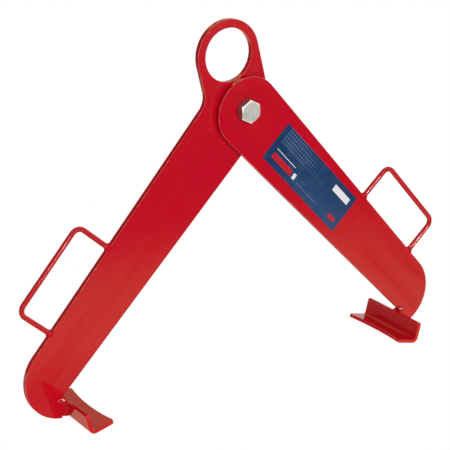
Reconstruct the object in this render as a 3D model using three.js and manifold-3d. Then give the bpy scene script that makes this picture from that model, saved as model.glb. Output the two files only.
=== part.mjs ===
// Two-leg grab for lifting a steel drum upright by its top rim.
// Two flat legs cross on one bolt. The rear leg carries the lifting eye, and each leg ends in a claw
// that hooks under the rim. Lengths are in millimetres, angles in degrees, and +Z is up.
// The grab stands on its two claws, as it does on a bench, with the pivot bolt along Y.

import * as THREE from 'three';
import { mergeVertices } from 'three/addons/utils/BufferGeometryUtils.js';
import Module from 'manifold-3d';

// Leg plates. A leg's own frame has its origin on the pivot axis and hangs straight down.
const plateThickness = 6.4;
const plateGap = 0.3;
const legWidthAtPivot = 82.7;
const legWidthAtFoot = 61.7;
const footWidthDistance = 357;
const footRadius = 48.3;
const footCentreHeight = 34.8;
const plainLegTopHeight = 35;
const plainLegTopRadius = 40.2;
const eyeLegShoulderRadius = 38;

// Pivot hole to plate centreline, and down each leg from pivot hole to claw corner.
const eyeLegOffsetDistance = 3.8;
const plainLegOffsetDistance = 0.7;
const eyeLegLength = 395.2;
const plainLegLength = 392.3;

// Half the angle between the legs when the grab holds a drum: the lips are then level and the eye upright.
const liftHalfAngle = 57.3;

// Lean of the rear leg as the grab stands on the floor. The front leg's lean follows from it.
const eyeLegLean = 43.3;

// Lifting eye, a strap as wide as its own round end.
const eyeHeight = 67.1;
const eyeOffsetDistance = 3.1;
const eyeOuterDiameter = 80.6;
const eyeHoleDiameter = 61;
const eyeNeckRadius = 22;

// Claws, bent from flat bar. The lip's edge is hollowed to the drum's side.
const clawThickness = 4.3;
const clawLength = 100;
const clawHeight = 26;
const lipLength = 31;
const clawInnerBendRadius = 2.8;
const drumSideRadius = 286;
const lipCornerRadius = 3;
const weldGap = 0.3;

// Plate's cut-away beside the claw, clear of the bend.
const reliefWidth = 9.8;
const reliefSlopeWidth = 1.9;
const reliefSlopeHeight = 1.8;
const reliefHeight = 6.2;

// Fillet welds between plate and claw.
const clawWeldWidth = 4.6;
const weldBulgeHeight = 0.5;
const clawWeldStartHeight = 7.4;

// Short fillet over the claw's top edge. Its height also sets how far in the claw sits on the leg.
const eyeTopWeldHeight = 6.4;
const plainTopWeldHeight = 2.7;
const topWeldWidth = 3.8;
const topWeldOverhangWidth = 0.7;

// Carrying handles, bent from round rod and welded to each leg's outer edge.
// Their distance is from the pivot to the middle of the handle, down the leg.
const rodDiameter = 6.2;
const eyeHandleDistance = 273.2;
const plainHandleDistance = 275.4;
const handleLength = 119.4;
const handleReachWidth = 52.1;
const handleBendRadius = 10;
const rodGap = 0.3;

// Weld collar round each end of a handle.
const collarHeight = 3.8;
const collarFootRadius = 6;
const collarTopRadius = 4.1;
const collarFlatness = 0.74;

// Pivot bolt, washer and locking nut, M16.
const boltDiameter = 16;
const boltHoleDiameter = 16.7;
const boltLength = 35;
const boltTurn = 3;
const boltHeadHeight = 10;
const boltTipChamferWidth = 1.4;
const hexFlatsWidth = 24;
const hexChamferDiameter = 22.6;
const hexChamferAngle = 30;
const hexWasherFaceHeight = 0.6;
const hexWasherFaceDiameter = 22.4;
const seatGap = 0.3;
const washerDiameter = 30;
const washerThickness = 3;
const nutHexHeight = 11.5;
const nutHeight = 16;
const nutCollarDiameter = 21.4;
const nutCollarThickness = 1.1;
const nutLipThickness = 0.7;
const nutLipWidth = 0.8;
const insertThickness = 2.9;
const insertGap = 0.3;

// Data label on the front leg.
const labelWidth = 50;
const labelLength = 152;
const labelThickness = 0.3;
const labelGlueGap = 0.05;
const labelOffsetDistance = 1.3;
const labelDistance = 134.4;

// Facets.
const arcStep = 7.5;
const roundSides = 36;
const rodSides = 12;
const rodSteps = 64;
const lipArcSteps = 8;

// Overrun of every cutting shape past what it cuts.
const overrunLength = 5;

const wasm = await Module();
wasm.setup();

const degree = Math.PI / 180;
const spread = liftHalfAngle * degree;
const halfPlate = plateThickness / 2;
const plateCentreY = (plateThickness + plateGap) / 2;
const taper = (legWidthAtPivot - legWidthAtFoot) / 2 / footWidthDistance;
const taperAngle = Math.atan(taper);
const clawOuterBendRadius = clawInnerBendRadius + clawThickness;
const rodRadius = rodDiameter / 2;
const eyeRadius = eyeOuterDiameter / 2;
const hexCornerRadius = hexFlatsWidth / 2 / Math.cos(Math.PI / 6);

// Each leg: side is -1 for the rear leg, whose foot is at -X, and 1 for the front leg.
const eyeLeg = {
  side: -1,
  offset: eyeLegOffsetDistance,
  reach: eyeLegLength,
  handleDistance: eyeHandleDistance,
  topWeldHeight: eyeTopWeldHeight,
  y: plateCentreY,
};
const plainLeg = {
  side: 1,
  offset: plainLegOffsetDistance,
  reach: plainLegLength,
  handleDistance: plainHandleDistance,
  topWeldHeight: plainTopWeldHeight,
  y: -plateCentreY,
};

const redPaint = { color: 0xbf2229, roughness: 0.28, metalness: 0 };
const zinc = { color: 0xbdbbb8, roughness: 0.35, metalness: 0.9 };
const nylon = { color: 0xe6e4dc, roughness: 0.55, metalness: 0 };
const labelFilm = { color: 0x22406e, roughness: 0.35, metalness: 0 };

function mesh(name, geometry, finish) {
  const part = new THREE.Mesh(geometry, new THREE.MeshStandardMaterial(finish));
  part.name = name;
  return part;
}

// A solid of a closed geometry, for cutting and joining. Triangles without area are left out.
function solidOf(geometry) {
  geometry.deleteAttribute('normal');
  geometry.deleteAttribute('uv');
  const merged = mergeVertices(geometry);
  const corners = merged.index.array;
  const kept = [];
  for (let i = 0; i < corners.length; i += 3) {
    const [a, b, c] = corners.slice(i, i + 3);
    if (a !== b && b !== c && c !== a) {
      kept.push(a, b, c);
    }
  }
  const vertProperties = new Float32Array(merged.attributes.position.array);
  return new wasm.Manifold(new wasm.Mesh({ numProp: 3, vertProperties, triVerts: new Uint32Array(kept) }));
}

function geometryOf(solid) {
  const result = solid.getMesh();
  const geometry = new THREE.BufferGeometry();
  geometry.setAttribute('position', new THREE.BufferAttribute(result.vertProperties, 3));
  geometry.setIndex(new THREE.BufferAttribute(result.triVerts, 1));
  return geometry;
}

// Points of an arc about a centre, both ends included.
function arcPoints(centre, radius, from, to) {
  const steps = Math.max(2, Math.round(Math.abs(to - from) / (arcStep * degree)));
  const points = [];
  for (let i = 0; i <= steps; i += 1) {
    const angle = from + ((to - from) * i) / steps;
    points.push(new THREE.Vector2(radius * Math.cos(angle), radius * Math.sin(angle)).add(centre));
  }
  return points;
}

// Outline through corners { at, radius }, each rounded by an arc tangent to its two edges.
function roundedOutline(corners) {
  const outline = [];
  corners.forEach((corner, i) => {
    if (!corner.radius) {
      outline.push(corner.at);
      return;
    }
    const before = corners.at(i - 1).at;
    const after = corners[(i + 1) % corners.length].at;
    const arriving = corner.at.clone().sub(before).normalize();
    const leaving = after.clone().sub(corner.at).normalize();
    const turn = Math.atan2(arriving.cross(leaving), arriving.dot(leaving));
    const way = Math.sign(turn);
    const start = corner.at.clone().addScaledVector(arriving, -corner.radius * Math.tan(Math.abs(turn) / 2));
    const inward = new THREE.Vector2(-arriving.y, arriving.x).multiplyScalar(way);
    const centre = start.clone().addScaledVector(inward, corner.radius);
    const from = Math.atan2(-inward.y, -inward.x);
    outline.push(...arcPoints(centre, corner.radius, from, from + turn));
  });
  return outline;
}

function circleOutline(centre, diameter) {
  const points = [];
  for (let i = 0; i < roundSides; i += 1) {
    const angle = (2 * Math.PI * i) / roundSides;
    points.push(new THREE.Vector2(Math.cos(angle), Math.sin(angle)).multiplyScalar(diameter / 2).add(centre));
  }
  return points;
}

// An upright plate: the outline is drawn outward and up, and the plate lies between two values of y.
function uprightPlate(side, outline, holes, yLow, yHigh) {
  const mirrored = (points) => points.map((p) => new THREE.Vector2(side * p.x, p.y));
  const shape = new THREE.Shape(mirrored(outline));
  shape.holes = holes.map((hole) => new THREE.Path(mirrored(hole)));
  const geometry = new THREE.ExtrudeGeometry(shape, { depth: yHigh - yLow, bevelEnabled: false });
  geometry.rotateX(Math.PI / 2);
  geometry.translate(0, yHigh, 0);
  return geometry;
}

// A prism that stands on the claw's frame: its section is drawn inward and along y, from one height to another.
function standingPrism(side, outline, low, high) {
  const shape = new THREE.Shape(outline.map((p) => new THREE.Vector2(-side * p.x, p.y)));
  const geometry = new THREE.ExtrudeGeometry(shape, { depth: high - low, bevelEnabled: false });
  geometry.translate(0, 0, low);
  return geometry;
}

// Position of a leg's edges at a height, outward from the pivot line.
function outerEdge(leg, height) {
  return leg.offset + legWidthAtPivot / 2 + taper * height;
}

function innerEdge(leg, height) {
  return leg.offset - legWidthAtPivot / 2 - taper * height;
}

// The claw's frame: origin at its sharp outer corner, outward and up turned by the lifting half angle.
const clawOutward = new THREE.Vector2(Math.cos(spread), -Math.sin(spread));
const clawUp = new THREE.Vector2(Math.sin(spread), Math.cos(spread));

function fromClaw(leg, outward, up) {
  return clawCorner(leg).addScaledVector(clawOutward, outward).addScaledVector(clawUp, up);
}

// Height over the claw's corner at which the plate's cut edge ends at its inner edge.
function cutHeight(leg) {
  return clawHeight + leg.topWeldHeight + 2 * weldGap;
}

// The corner sits in by just so much that the cut edge, at that height, ends on the plate's inner edge.
function clawCorner(leg) {
  const rise = clawUp.clone().multiplyScalar(cutHeight(leg)).addScaledVector(clawOutward, weldGap);
  return new THREE.Vector2(innerEdge(leg, rise.y - leg.reach) - rise.x, -leg.reach);
}

// Where a line of points base + t * way meets a leg edge or any other straight line.
function crossing(base, way, otherBase, otherWay) {
  const between = otherBase.clone().sub(base);
  const t = between.cross(otherWay) / way.cross(otherWay);
  return base.clone().addScaledVector(way, t);
}

function edgeLine(leg, edge) {
  const top = new THREE.Vector2(edge(leg, 0), 0);
  const low = new THREE.Vector2(edge(leg, -footWidthDistance), -footWidthDistance);
  return { base: top, way: low.sub(top).normalize() };
}

// The foot, from the outer edge round to the cut end that is welded to the claw, and up to the inner edge.
function footCorners(leg) {
  const height = footCentreHeight - leg.reach;
  const centre = new THREE.Vector2(outerEdge(leg, height) - footRadius / Math.cos(taperAngle), height);
  const toCentre = centre.clone().sub(clawCorner(leg));
  const aside = reliefWidth - toCentre.dot(clawOutward);
  const heel = toCentre.dot(clawUp) - Math.sqrt(footRadius ** 2 - aside ** 2);
  const heelPoint = fromClaw(leg, reliefWidth, heel);
  const heelAngle = heelPoint.clone().sub(centre).angle() - 2 * Math.PI;
  return [
    ...arcPoints(centre, footRadius, -taperAngle, heelAngle),
    fromClaw(leg, reliefWidth - reliefSlopeWidth, heel + reliefSlopeHeight),
    fromClaw(leg, weldGap, reliefHeight),
    fromClaw(leg, weldGap, cutHeight(leg)),
  ].map((at) => ({ at }));
}

function plainLegOutline() {
  const shoulder = (edge) => new THREE.Vector2(edge(plainLeg, plainLegTopHeight), plainLegTopHeight);
  return roundedOutline([
    { at: shoulder(innerEdge), radius: plainLegTopRadius },
    { at: shoulder(outerEdge), radius: plainLegTopRadius },
    ...footCorners(plainLeg),
  ]);
}

// The eye's strap stands on the pivot, square to the level lips.
const eyeCentre = clawUp.clone().multiplyScalar(eyeHeight).addScaledVector(clawOutward, eyeOffsetDistance);

function eyeLegOutline() {
  const outer = edgeLine(eyeLeg, outerEdge);
  const inner = edgeLine(eyeLeg, innerEdge);
  const strapEdge = (aside) => eyeCentre.clone().addScaledVector(clawOutward, aside);
  const strapEnd = (aside) => strapEdge(aside).addScaledVector(clawUp, eyeRadius);
  return roundedOutline([
    { at: crossing(inner.base, inner.way, strapEdge(-eyeRadius), clawUp), radius: eyeLegShoulderRadius },
    { at: strapEnd(-eyeRadius), radius: eyeRadius },
    { at: strapEnd(eyeRadius), radius: eyeRadius },
    { at: crossing(outer.base, outer.way, strapEdge(eyeRadius), clawUp), radius: eyeNeckRadius },
    ...footCorners(eyeLeg),
  ]);
}

function legPlate(leg, outline, holes) {
  return uprightPlate(leg.side, outline, holes, leg.y - halfPlate, leg.y + halfPlate);
}

// The claw: an L section along y, with the lip's edge hollowed and its two corners rounded.
function clawGeometry(leg) {
  const section = [
    [0, clawHeight, 0],
    [0, 0, clawOuterBendRadius],
    [lipLength, 0, 0],
    [lipLength, clawThickness, 0],
    [clawThickness, clawThickness, clawInnerBendRadius],
    [clawThickness, clawHeight, 0],
  ].map(([inward, up, radius]) => ({ at: new THREE.Vector2(-inward, up), radius }));
  const low = leg.y - clawLength / 2;
  const high = leg.y + clawLength / 2;
  const bar = uprightPlate(leg.side, roundedOutline(section), [], low, high);

  const halfLength = clawLength / 2;
  const drumCentre = lipLength + Math.sqrt(drumSideRadius ** 2 - halfLength ** 2);
  const corners = [
    { at: new THREE.Vector2(-overrunLength, halfLength) },
    { at: new THREE.Vector2(-overrunLength, -halfLength) },
  ];
  for (let i = 0; i <= lipArcSteps; i += 1) {
    const along = halfLength * ((2 * i) / lipArcSteps - 1);
    const inward = drumCentre - Math.sqrt(drumSideRadius ** 2 - along ** 2);
    const isTip = i === 0 || i === lipArcSteps;
    corners.push({ at: new THREE.Vector2(inward, along), radius: isTip ? lipCornerRadius : 0 });
  }
  const plan = standingPrism(leg.side, roundedOutline(corners), -overrunLength, clawHeight + overrunLength);
  plan.translate(0, leg.y, 0);
  return geometryOf(solidOf(bar).intersect(solidOf(plan)));
}

// A fillet bead's section: two legs at a right angle and a bulged face.
function beadSection(across, along, bulge) {
  const middle = new THREE.Vector2(across / 2 + bulge, along / 2 + bulge);
  return [new THREE.Vector2(0, 0), new THREE.Vector2(across, 0), middle, new THREE.Vector2(0, along)];
}

// Bead along the claw's outer face, on the plate's front (facing -1) or rear (facing 1).
function sideBead(leg, facing) {
  const section = beadSection(clawWeldWidth, clawWeldWidth, weldBulgeHeight);
  const start = leg.y + facing * halfPlate;
  const outline = section.map((p) => new THREE.Vector2(-weldGap - p.x, start + facing * p.y));
  return standingPrism(leg.side, outline, clawWeldStartHeight, clawHeight);
}

// Bead over the claw's top edge, in the corner below the plate's inner edge.
function topBead(leg) {
  const section = beadSection(topWeldWidth, leg.topWeldHeight, weldBulgeHeight);
  const outline = section.map((p) => new THREE.Vector2(-p.x, clawHeight + weldGap + p.y));
  const half = halfPlate + topWeldOverhangWidth;
  return uprightPlate(leg.side, outline, [], leg.y - half, leg.y + half);
}

// A flat path lifted into the plane of a leg, for bending rod along.
class RodPath extends THREE.Curve {
  constructor(path, y) {
    super();
    this.path = path;
    this.y = y;
  }

  getPoint(t, target = new THREE.Vector3()) {
    const p = this.path.getPoint(t);
    return target.set(p.x, this.y, p.y);
  }
}

// The handle in its own frame, whose origin is on the leg's outer edge with the edge running along z.
function handleGeometry(leg) {
  const half = handleLength / 2 - rodRadius;
  const reach = handleReachWidth - rodRadius;
  const bend = handleBendRadius;
  const path = new THREE.Path();
  path.moveTo(leg.side * rodGap, half);
  path.lineTo(leg.side * (reach - bend), half);
  const eastward = leg.side > 0;
  const corner = leg.side * (reach - bend);
  path.absarc(corner, half - bend, bend, Math.PI / 2, eastward ? 0 : Math.PI, eastward);
  path.lineTo(leg.side * reach, bend - half);
  path.absarc(corner, bend - half, bend, eastward ? 0 : Math.PI, -Math.PI / 2, eastward);
  path.lineTo(leg.side * rodGap, -half);

  const section = new THREE.Shape();
  for (let i = 0; i < rodSides; i += 1) {
    const angle = (2 * Math.PI * i) / rodSides;
    const point = [rodRadius * Math.cos(angle), rodRadius * Math.sin(angle)];
    if (i === 0) {
      section.moveTo(...point);
    } else {
      section.lineTo(...point);
    }
  }
  const extrudePath = new RodPath(path, leg.y);
  return new THREE.ExtrudeGeometry(section, { steps: rodSteps, bevelEnabled: false, extrudePath });
}

// Weld collar round a handle's end: a flattened cone with the rod's clearance through it.
function collarGeometry(leg, height) {
  const cone = new THREE.CylinderGeometry(collarTopRadius, collarFootRadius, collarHeight, roundSides);
  cone.scale(1, 1, collarFlatness);
  const boreRadius = rodRadius + rodGap;
  const bore = new THREE.CylinderGeometry(boreRadius, boreRadius, collarHeight + overrunLength, rodSides);
  const collar = geometryOf(solidOf(cone).subtract(solidOf(bore)));
  collar.rotateZ((-leg.side * Math.PI) / 2);
  collar.translate(leg.side * (weldGap + collarHeight / 2), leg.y, height);
  return collar;
}

// A turned piece about the pivot axis, from a closed profile of [radius, y].
function turned(profile) {
  const points = profile.map(([radius, y]) => new THREE.Vector2(radius, y));
  return new THREE.LatheGeometry(points, roundSides);
}

function hexPrism(yLow, yHigh) {
  const prism = new THREE.CylinderGeometry(hexCornerRadius, hexCornerRadius, yHigh - yLow, 6);
  prism.rotateY(boltTurn * degree);
  prism.translate(0, (yHigh + yLow) / 2, 0);
  return prism;
}

// Hexagon whose corners are turned down at one or both ends.
function chamferedHex(yLow, yHigh, lowEnd, highEnd) {
  const cornerRadius = hexCornerRadius + overrunLength;
  const faceRadius = hexChamferDiameter / 2;
  const drop = (cornerRadius - faceRadius) * Math.tan(hexChamferAngle * degree);
  const cone = turned([
    [0, yLow],
    [lowEnd ? faceRadius : cornerRadius, yLow],
    [cornerRadius, lowEnd ? yLow + drop : yLow],
    [cornerRadius, highEnd ? yHigh - drop : yHigh],
    [highEnd ? faceRadius : cornerRadius, yHigh],
    [0, yHigh],
  ]);
  return solidOf(hexPrism(yLow, yHigh)).intersect(solidOf(cone));
}

const frontFace = -plateCentreY - halfPlate;
const rearFace = plateCentreY + halfPlate;
const headSeat = frontFace - seatGap;
const washerSeat = rearFace + seatGap;
const nutSeat = washerSeat + washerThickness + seatGap;
const boltEnd = headSeat + boltLength;
const pocketFloor = nutSeat + nutHeight - nutLipThickness - insertThickness;

function boltGeometry() {
  const headLow = headSeat - boltHeadHeight;
  const faceRadius = hexWasherFaceDiameter / 2;
  const shankRadius = boltDiameter / 2;
  const head = chamferedHex(headLow, headSeat - hexWasherFaceHeight, true, false);
  const stem = turned([
    [0, headLow + boltHeadHeight / 2],
    [faceRadius, headLow + boltHeadHeight / 2],
    [faceRadius, headSeat],
    [shankRadius, headSeat],
    [shankRadius, boltEnd - boltTipChamferWidth],
    [shankRadius - boltTipChamferWidth, boltEnd],
    [0, boltEnd],
  ]);
  return geometryOf(head.add(solidOf(stem)));
}

function washerGeometry() {
  const bore = boltHoleDiameter / 2;
  const rim = washerDiameter / 2;
  const top = washerSeat + washerThickness;
  return turned([[bore, washerSeat], [rim, washerSeat], [rim, top], [bore, top], [bore, washerSeat]]);
}

// Nut with a plain collar past its hexagon, rolled over the nylon ring.
function nutGeometry() {
  const top = nutSeat + nutHeight;
  const bore = boltHoleDiameter / 2;
  const collarRadius = nutCollarDiameter / 2;
  const pocketRadius = collarRadius - nutCollarThickness;
  const hexTop = nutSeat + nutHexHeight;
  const collarFoot = hexTop - overrunLength;
  const hex = chamferedHex(nutSeat, hexTop, true, true);
  const collar = turned([[0, collarFoot], [collarRadius, collarFoot], [collarRadius, top], [0, top]]);
  const boreFoot = nutSeat - overrunLength;
  const threadBore = turned([[0, boreFoot], [bore, boreFoot], [bore, top], [0, top]]);
  const pocket = turned([
    [0, pocketFloor],
    [pocketRadius, pocketFloor],
    [pocketRadius, top - nutLipThickness],
    [pocketRadius - nutLipWidth, top - nutLipThickness],
    [pocketRadius - nutLipWidth, top + overrunLength],
    [0, top + overrunLength],
  ]);
  return geometryOf(hex.add(solidOf(collar)).subtract(solidOf(threadBore)).subtract(solidOf(pocket)));
}

function insertGeometry() {
  const bore = boltHoleDiameter / 2;
  const rim = nutCollarDiameter / 2 - nutCollarThickness - insertGap;
  const low = pocketFloor + insertGap;
  const high = pocketFloor + insertThickness - insertGap;
  return turned([[bore, low], [rim, low], [rim, high], [bore, high], [bore, low]]);
}

function labelGeometry() {
  const front = frontFace - labelGlueGap - labelThickness;
  const label = new THREE.BoxGeometry(labelWidth, labelThickness, labelLength);
  label.translate(plainLeg.side * labelOffsetDistance, front + labelThickness / 2, -labelDistance);
  return label;
}

// The claw and its welds, in the claw's own frame.
function clawGroup(leg, name) {
  const group = new THREE.Group();
  const corner = clawCorner(leg);
  group.position.set(leg.side * corner.x, 0, corner.y);
  group.rotation.y = leg.side * spread;
  group.add(mesh(`${name}_leg_claw`, clawGeometry(leg), redPaint));
  group.add(mesh(`${name}_claw_front_weld`, sideBead(leg, -1), redPaint));
  group.add(mesh(`${name}_claw_rear_weld`, sideBead(leg, 1), redPaint));
  group.add(mesh(`${name}_claw_top_weld`, topBead(leg), redPaint));
  return group;
}

// The handle and its welds, in the frame of the leg's outer edge.
function handleGroup(leg, name) {
  const group = new THREE.Group();
  const weldHeight = handleLength / 2 - rodRadius;
  group.position.set(leg.side * outerEdge(leg, -leg.handleDistance), 0, -leg.handleDistance);
  group.rotation.y = leg.side * taperAngle;
  group.add(mesh(`${name}_leg_handle`, handleGeometry(leg), redPaint));
  group.add(mesh(`${name}_handle_top_weld`, collarGeometry(leg, weldHeight), redPaint));
  group.add(mesh(`${name}_handle_foot_weld`, collarGeometry(leg, -weldHeight), redPaint));
  return group;
}

function legGroup(leg, name, outline, holes, lean) {
  const group = new THREE.Group();
  group.rotation.y = -leg.side * lean;
  group.add(mesh(`${name}_leg_plate`, legPlate(leg, outline, holes), redPaint));
  group.add(clawGroup(leg, name), handleGroup(leg, name));
  return group;
}

// Centre of the claw's bend, which the leg stands on.
function bendCentre(leg) {
  return fromClaw(leg, -clawOuterBendRadius, clawOuterBendRadius);
}

// Height of the pivot over the floor with the rear leg at its lean, and the front leg's lean at that height.
const rearBend = bendCentre(eyeLeg);
const frontBend = bendCentre(plainLeg);
const rearLean = eyeLegLean * degree;
const bendDrop = -(rearBend.x * Math.sin(rearLean) + rearBend.y * Math.cos(rearLean));
const frontLean = Math.acos(bendDrop / frontBend.length()) + Math.atan2(frontBend.x, frontBend.y) + Math.PI;

const pivotHole = circleOutline(new THREE.Vector2(0, 0), boltHoleDiameter);
const eyeHole = circleOutline(eyeCentre, eyeHoleDiameter);

const rearLegGroup = legGroup(eyeLeg, 'eye', eyeLegOutline(), [pivotHole, eyeHole], rearLean);
const frontLegGroup = legGroup(plainLeg, 'plain', plainLegOutline(), [pivotHole], frontLean);
frontLegGroup.add(mesh('data_label', labelGeometry(), labelFilm));

const grab = new THREE.Group();
grab.add(rearLegGroup, frontLegGroup);
grab.add(mesh('pivot_bolt', boltGeometry(), zinc));
grab.add(mesh('pivot_washer', washerGeometry(), zinc));
grab.add(mesh('pivot_nut', nutGeometry(), zinc));
grab.add(mesh('nut_insert', insertGeometry(), nylon));

// The floor is z = 0, and x = 0 is the middle of the grab's width.
grab.position.z = bendDrop + clawOuterBendRadius;
const extent = new THREE.Box3().setFromObject(grab, true);
grab.position.x = -(extent.min.x + extent.max.x) / 2;

export default grab;
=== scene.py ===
"""Looks of the two-leg drum grab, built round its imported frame.

Sizes of the pieces and of the label's print are in millimetres, and angles are in degrees. A mesh is
turned into metres where it is made. The other finishes and the studio are in metres, and the scale of a
pattern is in features a metre.
"""

import logging
import math
from dataclasses import dataclass, field, replace
from enum import Enum

import bpy
import numpy as np
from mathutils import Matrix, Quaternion, Vector
from mathutils.geometry import tessellate_polygon


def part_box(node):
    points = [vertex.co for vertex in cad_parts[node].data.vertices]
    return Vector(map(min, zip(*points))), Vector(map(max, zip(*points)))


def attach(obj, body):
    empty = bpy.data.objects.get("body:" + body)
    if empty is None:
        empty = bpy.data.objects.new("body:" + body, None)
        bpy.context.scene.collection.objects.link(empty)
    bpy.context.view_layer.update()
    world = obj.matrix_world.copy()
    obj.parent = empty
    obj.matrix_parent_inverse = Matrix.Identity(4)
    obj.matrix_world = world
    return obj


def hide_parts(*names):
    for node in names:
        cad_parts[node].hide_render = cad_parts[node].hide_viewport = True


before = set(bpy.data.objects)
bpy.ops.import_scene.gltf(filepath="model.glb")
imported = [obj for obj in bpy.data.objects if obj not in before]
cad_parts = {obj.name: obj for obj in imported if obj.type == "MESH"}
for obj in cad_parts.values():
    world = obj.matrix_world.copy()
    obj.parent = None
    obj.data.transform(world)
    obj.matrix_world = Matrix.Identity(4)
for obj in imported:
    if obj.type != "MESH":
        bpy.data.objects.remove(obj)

Array = np.ndarray
Colour = tuple[float, float, float]
Triple = tuple[float, float, float]
Pair = tuple[float, float]
Profile = tuple[Pair, ...]

MM = 0.001
FULL_TURN = 2 * math.pi
FINE_TURN = 2.5
COARSE_TURN = 12.0
SMALL_RADIUS = 5.0
MITRE_LIMIT = 0.3
WHITE = (1.0, 1.0, 1.0)
log = logging.getLogger("drum_grab")


# Surfaces


@dataclass
class Surface:
    """A closed surface: points, arrays of faces that index them, and each point's share in a worn edge."""

    points: Array
    faces: list[Array]
    rim: Array | None = None

    def triangles(self) -> Array:
        """All faces as triangles, with each quad cut in two."""
        cut = [f if f.shape[1] == 3 else np.vstack([f[:, [0, 1, 2]], f[:, [0, 2, 3]]]) for f in self.faces]
        return np.vstack(cut)


def quads(index: Array) -> Array:
    """Quads between neighbours on a grid of point numbers."""
    return np.stack([index[:-1, :-1], index[:-1, 1:], index[1:, 1:], index[1:, :-1]], -1).reshape(-1, 4)


def lattice(rows: int, columns: int, wrap_rows: bool = False, wrap_columns: bool = True) -> Array:
    """Quads over a grid of points numbered row by row.

    Args:
        rows: Number of rows.
        columns: Number of points in a row.
        wrap_rows: Whether the last row joins the first.
        wrap_columns: Whether each row is a closed ring.

    Returns:
        An array of quads, four indices each.
    """
    index = np.arange(rows * columns).reshape(rows, columns)
    index = np.hstack([index, index[:, :1]]) if wrap_columns else index
    return quads(np.vstack([index, index[:1]]) if wrap_rows else index)


def tube(rings: Array) -> Surface:
    """A skin over a stack of closed rings, shut at each end by a fan round the end ring's middle.

    Args:
        rings: Points of shape (rings, points in a ring, 3).

    Returns:
        The closed surface.
    """
    rows, columns = rings.shape[:2]
    ends = rings[[0, -1]].mean(1)
    points = np.vstack([rings.reshape(-1, 3), ends])
    ring = np.arange(columns)
    after = np.roll(ring, -1)
    low = np.stack([np.full(columns, rows * columns), after, ring], -1)
    last = (rows - 1) * columns
    high = np.stack([np.full(columns, rows * columns + 1), last + ring, last + after], -1)
    return Surface(points, [lattice(rows, columns), low, high])


def hoop(rings: Array) -> Surface:
    """A skin over rings whose last joins the first, as on a washer turned from a closed profile."""
    rows, columns = rings.shape[:2]
    return Surface(rings.reshape(-1, 3), [lattice(rows, columns, wrap_rows=True)])


def smooth_step(value: Array, low: float, high: float) -> Array:
    """Rises from 0 at low to 1 at high along three squares less two cubes."""
    t = np.clip((value - low) / (high - low), 0, 1)
    return t * t * (3 - 2 * t)


def column(*values: float) -> Array:
    """Numbers one below the other."""
    return np.array(values)[:, None]


def columns_of(corners: Profile) -> Array:
    """Radii and heights of a profile's corners, as two columns."""
    return np.array(corners).T[..., None]


# Outlines


def arc(centre: Array, radius: float, start: float, end: float, step: float = FINE_TURN) -> Array:
    """Points of an arc about a centre, ends included: the centre plus the radius times cosine and sine.

    Args:
        centre: The arc's centre.
        radius: Its radius.
        start: First angle, in radians.
        end: Last angle, in radians.
        step: Largest turn between points, in degrees.

    Returns:
        Points of shape (n, 2).
    """
    angle = np.linspace(start, end, max(3, math.ceil(abs(end - start) / math.radians(step)) + 1))
    return centre + radius * np.stack([np.cos(angle), np.sin(angle)], -1)


def cross(a: Array, b: Array) -> float:
    """Signed area between two flat vectors."""
    return float(a[0] * b[1] - a[1] * b[0])


def crossing(base: Array, way: Array, other: Array, other_way: Array) -> Array:
    """Where the line through base along way meets the line through other along other_way."""
    return base + way * cross(other - base, other_way) / cross(way, other_way)


def rounded(corners: list[tuple[Array, float]]) -> Array:
    """A closed outline through corners, each turned into an arc tangent to its two edges.

    Args:
        corners: Pairs of a corner and its radius. A radius of 0 keeps the corner.

    Returns:
        The outline's points, of shape (n, 2).
    """
    parts = []
    for i, (at, radius) in enumerate(corners):
        if not radius:
            parts.append(at[None])
            continue
        ways = at - corners[i - 1][0], corners[(i + 1) % len(corners)][0] - at
        arriving, leaving = (way / np.linalg.norm(way) for way in ways)
        turn = math.atan2(cross(arriving, leaving), float(arriving @ leaving))
        side = np.array([-arriving[1], arriving[0]]) * math.copysign(1, turn)
        middle = at - arriving * radius * math.tan(abs(turn) / 2) + side * radius
        start = math.atan2(-side[1], -side[0])
        step = FINE_TURN if radius > SMALL_RADIUS else COARSE_TURN
        parts.append(arc(middle, radius, start, start + turn, step))
    return np.vstack(parts)


def anticlockwise(loop: Array) -> Array:
    """The loop in the order that keeps its inside on the left."""
    after = np.roll(loop, -1, 0)
    return loop if (loop[:, 0] * after[:, 1] - loop[:, 1] * after[:, 0]).sum() > 0 else loop[::-1]


def spaced(loop: Array, guard: float = 1.2) -> Array:
    """Adds a point close to each end of a closed loop's long edges, so that shading stays flat along them.

    Args:
        loop: The closed loop.
        guard: Distance of each added point from its end.

    Returns:
        The loop with its own points and the added ones in order.
    """
    step = np.roll(loop, -1, 0) - loop
    length = np.linalg.norm(step, axis=1, keepdims=True)
    along = np.hstack([0 * length, 0 * length + guard, length - guard])
    wanted = np.hstack([length > 0, length > 4 * guard, length > 4 * guard])
    return (loop[:, None] + step[:, None] * (along / length)[..., None])[wanted]


def outward(loop: Array) -> Array:
    """Mitre vectors of an anticlockwise loop: moving each point by one shifts both its edges out by one.

    Args:
        loop: The loop.

    Returns:
        One vector for each point: the sum of its two edges' normals over its share along one of them.
    """
    edge = np.roll(loop, -1, 0) - loop
    edge = edge / np.linalg.norm(edge, axis=1, keepdims=True)
    normal = np.stack([edge[:, 1], -edge[:, 0]], -1)
    mitre = normal + np.roll(normal, 1, 0)
    return mitre / np.maximum((mitre * normal).sum(1, keepdims=True), MITRE_LIMIT)


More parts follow.
